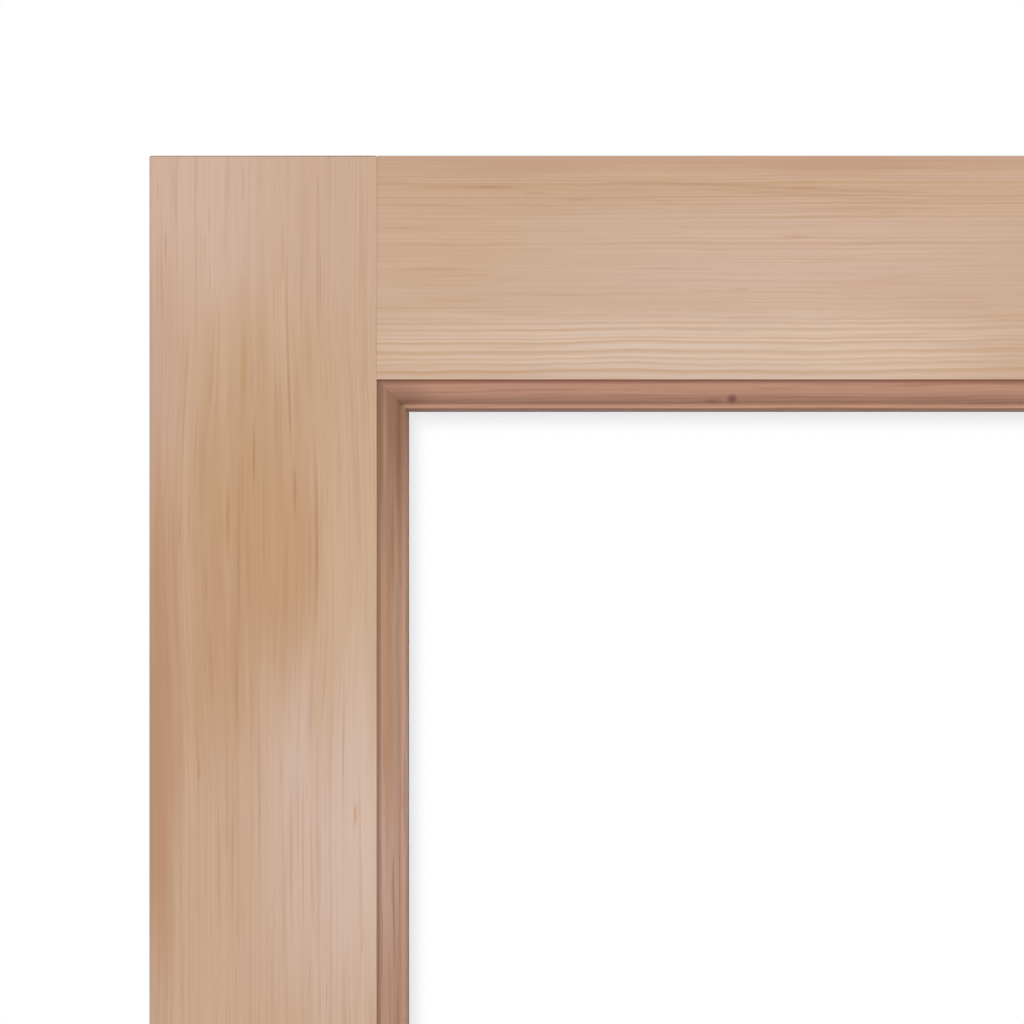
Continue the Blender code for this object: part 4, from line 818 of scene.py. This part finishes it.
def dressed_copy(node, finish, closed_up=0.0, chamfered_ends=False):
    """A merged copy of a CAD node, for smooth curves. Its flat faces are made whole again.

    closed_up carries its two ends along Y as far as the pieces they are glued to. chamfered_ends takes the
    arris off its top and its foot: each end face is drawn in as far as its edge is lowered.
    """
    mesh = NODES[node].data.copy()
    shape = bmesh.new()
    shape.from_mesh(mesh)
    bmesh.ops.remove_doubles(shape, verts=shape.verts, dist=MERGED_WITHIN)
    bmesh.ops.dissolve_limit(shape, angle_limit=FLAT_WITHIN, verts=shape.verts, edges=shape.edges)
    low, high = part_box(node)
    if closed_up:
        for vert in shape.verts:
            if vert.co.y < low.y + NEAR_RAIL_END:
                vert.co.y -= closed_up
            if vert.co.y > high.y - NEAR_RAIL_END:
                vert.co.y += closed_up
    if chamfered_ends:
        for end, way in ((low.z, -1), (high.z, 1)):
            facing = [part for part in shape.faces if part.normal.z * way > END_FACING]
            faces = [part for part in facing if abs(part.calc_center_median().z - end) < NEAR_END_FACE]
            for vert in {vert for part in faces for vert in part.verts}:
                vert.co.z -= way * END_CHAMFER
            bmesh.ops.inset_region(shape, faces=faces, thickness=END_CHAMFER, depth=END_CHAMFER,
                                   use_even_offset=True)
    shape.to_mesh(mesh)
    shape.free()
    mesh.materials.clear()
    mesh.materials.append(finish)
    return stand_for(bpy.data.objects.new(f"{node}_dressed", mesh), node)


def pull_outline():
    """A pull's side view as (height from its middle, reach from the face) rows, in order round it.

    Each half has a quarter-ellipse shoulder outside and a quarter-circle fillet inside the grip.
    """
    low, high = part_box("inner_pull")
    half = (high.z - low.z) / 2
    reach = high.x - low.x
    shoulder, run, foot, grip, fillet = 16 * MM, 42 * MM, 36 * MM, 24 * MM, 16 * MM
    turn = np.linspace(0, math.pi / 2, PULL_CURVE)
    outer = np.stack([half - run * (1 - np.cos(turn)), shoulder + (reach - shoulder) * np.sin(turn)], axis=-1)
    flat = np.linspace(half - run, 0, PULL_FLAT)[1:]
    outer = np.concatenate([[(half, 0)], outer, np.stack([flat, np.full_like(flat, reach)], axis=-1)])
    inner_end = half - foot
    gap = reach - grip
    inner = np.stack([inner_end - fillet * (1 - np.cos(turn)), gap - fillet * (1 - np.sin(turn))], axis=-1)
    flat = np.linspace(inner_end - fillet, 0, PULL_FLAT)[1:]
    inner = np.concatenate([[(inner_end, 0)], inner, np.stack([flat, np.full_like(flat, gap)], axis=-1)])
    mirror = np.array([-1, 1])
    return np.concatenate([outer, (outer[:-1] * mirror)[::-1], inner * mirror, inner[:-1][::-1]])


def inward_normals(outline):
    """Unit normals that point into a closed outline, each halfway between its two sides' normals."""
    ahead = np.roll(outline, -1, axis=0) - outline
    ahead /= np.linalg.norm(ahead, axis=1, keepdims=True)
    along = ahead + np.roll(ahead, 1, axis=0)
    along /= np.linalg.norm(along, axis=1, keepdims=True)
    following = np.roll(outline, -1, axis=0)
    turned = np.sum(outline[:, 0] * following[:, 1] - following[:, 0] * outline[:, 1])
    return np.stack([along[:, 1], -along[:, 0]], axis=-1) * (-1 if turned > 0 else 1)


def build_pulls(cedar):
    """The two pulls: the outline is carried across the width and drawn in by a quarter circle each side.

    Its points on the door's face, within half a millimetre, aren't drawn in, so that the feet sit flat.
    """
    outline = pull_outline()
    off_the_face = (outline[:, 1] > 0.5 * MM).astype(float)[:, None]
    edge_round = 6 * MM
    turn = np.linspace(0, math.pi / 2, PULL_ARRIS)
    drawn = edge_round * (1 - np.cos(turn))
    insets = np.concatenate([drawn[::-1], drawn])[:, None, None]
    section = outline + inward_normals(outline) * off_the_face * insets
    for node, direction in (("outer_pull", -1), ("inner_pull", 1)):
        low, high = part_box(node)
        middle = (low + high) / 2
        foot = low.x if direction > 0 else high.x
        right = (high.y - low.y) / 2 - edge_round * (1 - np.sin(turn))
        stations = np.concatenate([-right[::-1], right])
        x = foot + direction * section[..., 1]
        y = np.broadcast_to(middle.y + stations[:, None], x.shape)
        z = middle.z + section[..., 0]
        points = np.stack([x, y, z], axis=-1)
        add_piece(f"{node}_carved", points, grid_faces(len(stations), len(outline)), node, cedar)


def dress_wood(woods):
    """Gives every wooden board a copy with its own finish, and the rails ends that meet the stiles."""
    for node in ("latch_stile", "hinge_stile", "hinge_jamb", "latch_jamb"):
        dressed_copy(node, woods[node], chamfered_ends=True)
    for node in ("top_rail", "bottom_rail"):
        dressed_copy(node, woods[node], closed_up=GLUED_UP)
    for node in ("head_jamb", "threshold", "head_stop", "hinge_side_stop"):
        dressed_copy(node, woods[node])
    dressed_copy("latch_side_stop", woods["hinge_side_stop"])


def dress_nodes():
    """Gives every CAD node its finish, on a smoother copy where it has curves."""
    woods = make_woods()
    build_beads(woods["bead_upright"], woods["bead_level"])
    build_pulls(woods["pulls"])
    dress_wood(woods)
    by_slot = {
        # Satin stainless steel, brushed upright: fine long lines
        "satin_steel": metal("satin_stainless_steel", "B9B7B2", "A19F9A", 0.3, (0.35, 0.35, 14.0), 0.25),
        # Bright zinc plating: a soft cloudy spangle
        "zinc_steel": metal("bright_zinc_plating", "BDBAB0", "A09D92", 0.36, (1.6, 1.6, 1.6), 0.12),
        # Plain turned brass, a little dull: an even fine mottle
        "hardware_brass": metal("turned_brass", "C7A766", "A8884C", 0.34, (0.8, 0.8, 0.8), 0.15),
        # Roll-formed aluminium spacer: a faint even grain
        "spacer_aluminium": metal("mill_aluminium", "C9CACC", "B3B5B8", 0.38, (0.5, 0.5, 0.5), 0.1),
        # Butyl and silicone: dull black with a faint bloom
        "glazing_seal": black_compound("black_glazing_seal", "0B0B0C", "2A2A2B", 0.4, 0.65),
        # Neoprene blocks: matt and slightly dusty
        "setting_rubber": black_compound("setting_block_rubber", "101010", "303030", 0.6, 0.8),
        # Low-iron float glass: clear, without the usual green, with a painted grey shade beside the beads
        "clear_glass": float_glass("clear_float_glass"),
        "dowel_beech": woods["dowels"],
    }
    round_nodes = ("pin", "half", "catch", "strike", "bolt", "insert", "dowel", "frame_screw")
    for node, slot in SLOT_OF.items():
        if slot not in by_slot:
            continue
        if node == "catch_spring":
            press_with_ball(dressed_copy(node, by_slot[slot]))
        elif any(word in node for word in round_nodes):
            dressed_copy(node, by_slot[slot])
        else:
            NODES[node].material_slots[0].material = by_slot[slot]


def press_with_ball(spring):
    """Gives the catch spring a mesh of its own; it is not shortened."""
    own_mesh(spring)


# Studio


def aim(thing, target):
    """Turns a light or a camera so that it looks at a point."""
    away = np.array(target) - np.array(thing.location)
    flat = math.hypot(away[0], away[1])
    lift, heading = math.atan2(away[2], flat), math.atan2(away[1], away[0])
    thing.rotation_euler = (math.pi / 2 + lift, 0, heading - math.pi / 2)


def soft_light(name, location, target, size, power):
    """A large square lamp."""
    lamp = bpy.data.lights.new(name, "AREA")
    lamp.size = size
    lamp.energy = power
    made = bpy.data.objects.new(name, lamp)
    made.location = location
    bpy.context.scene.collection.objects.link(made)
    aim(made, target)


def build_surroundings():
    """Plain white all round. Light that has left a dull surface finds it dimmer, which keeps the shading."""
    world = bpy.data.worlds.new("white_studio")
    world.use_nodes = True
    tree = world.node_tree
    path = add(tree, "ShaderNodeLightPath")
    depth = path.outputs["Diffuse Depth"]
    bounced = add(tree, "ShaderNodeMath", {0: depth, 1: 0.5}, operation="GREATER_THAN")
    strength = add(tree, "ShaderNodeMapRange", {"Value": bounced, "To Min": 1.0, "To Max": DIFFUSE_SKY})
    surroundings = tree.nodes["Background"]
    surroundings.inputs["Color"].default_value = (1, 1, 1, 1)
    tree.links.new(strength.outputs[0], surroundings.inputs["Strength"])
    bpy.context.scene.world = world
    bpy.context.scene.view_settings.view_transform = "Standard"


def build_studio():
    """White surroundings, a pale floor, a soft key in front above the corner, and a weaker fill behind."""
    build_surroundings()
    soft_light("key", target=(FACE_X, LATCH_EDGE_Y + KEY_AIM, LEAF_TOP_Z - KEY_AIM), **KEY)
    soft_light("fill", target=FILL_AIM, **FILL)

    mesh = bpy.data.meshes.new("studio_floor")
    corners = [(-1, -1), (1, -1), (1, 1), (-1, 1)]
    mesh.from_pydata([(x * FLOOR_HALF, y * FLOOR_HALF, FLOOR_Z) for x, y in corners], [], [(0, 1, 2, 3)])
    floor = bpy.data.objects.new("studio_floor", mesh)
    bpy.context.scene.collection.objects.link(floor)
    mesh.materials.append(studio_floor("pale_floor"))

    camera = bpy.data.cameras.new("camera")
    camera.sensor_width = SENSOR_MM
    camera.lens = SENSOR_MM * CAMERA_DISTANCE / VIEW_WIDTH
    eye = bpy.data.objects.new("camera", camera)
    middle_y = LATCH_EDGE_Y - VIEW_LEFT_OF_EDGE + VIEW_WIDTH / 2
    middle_z = LEAF_TOP_Z + VIEW_ABOVE_TOP - VIEW_WIDTH / 2
    eye.location = (FACE_X + CAMERA_DISTANCE, middle_y, middle_z)
    bpy.context.scene.collection.objects.link(eye)
    aim(eye, (FACE_X, middle_y, middle_z))
    bpy.context.scene.camera = eye


dress_nodes()
build_studio()

bpy.context.view_layer.update()
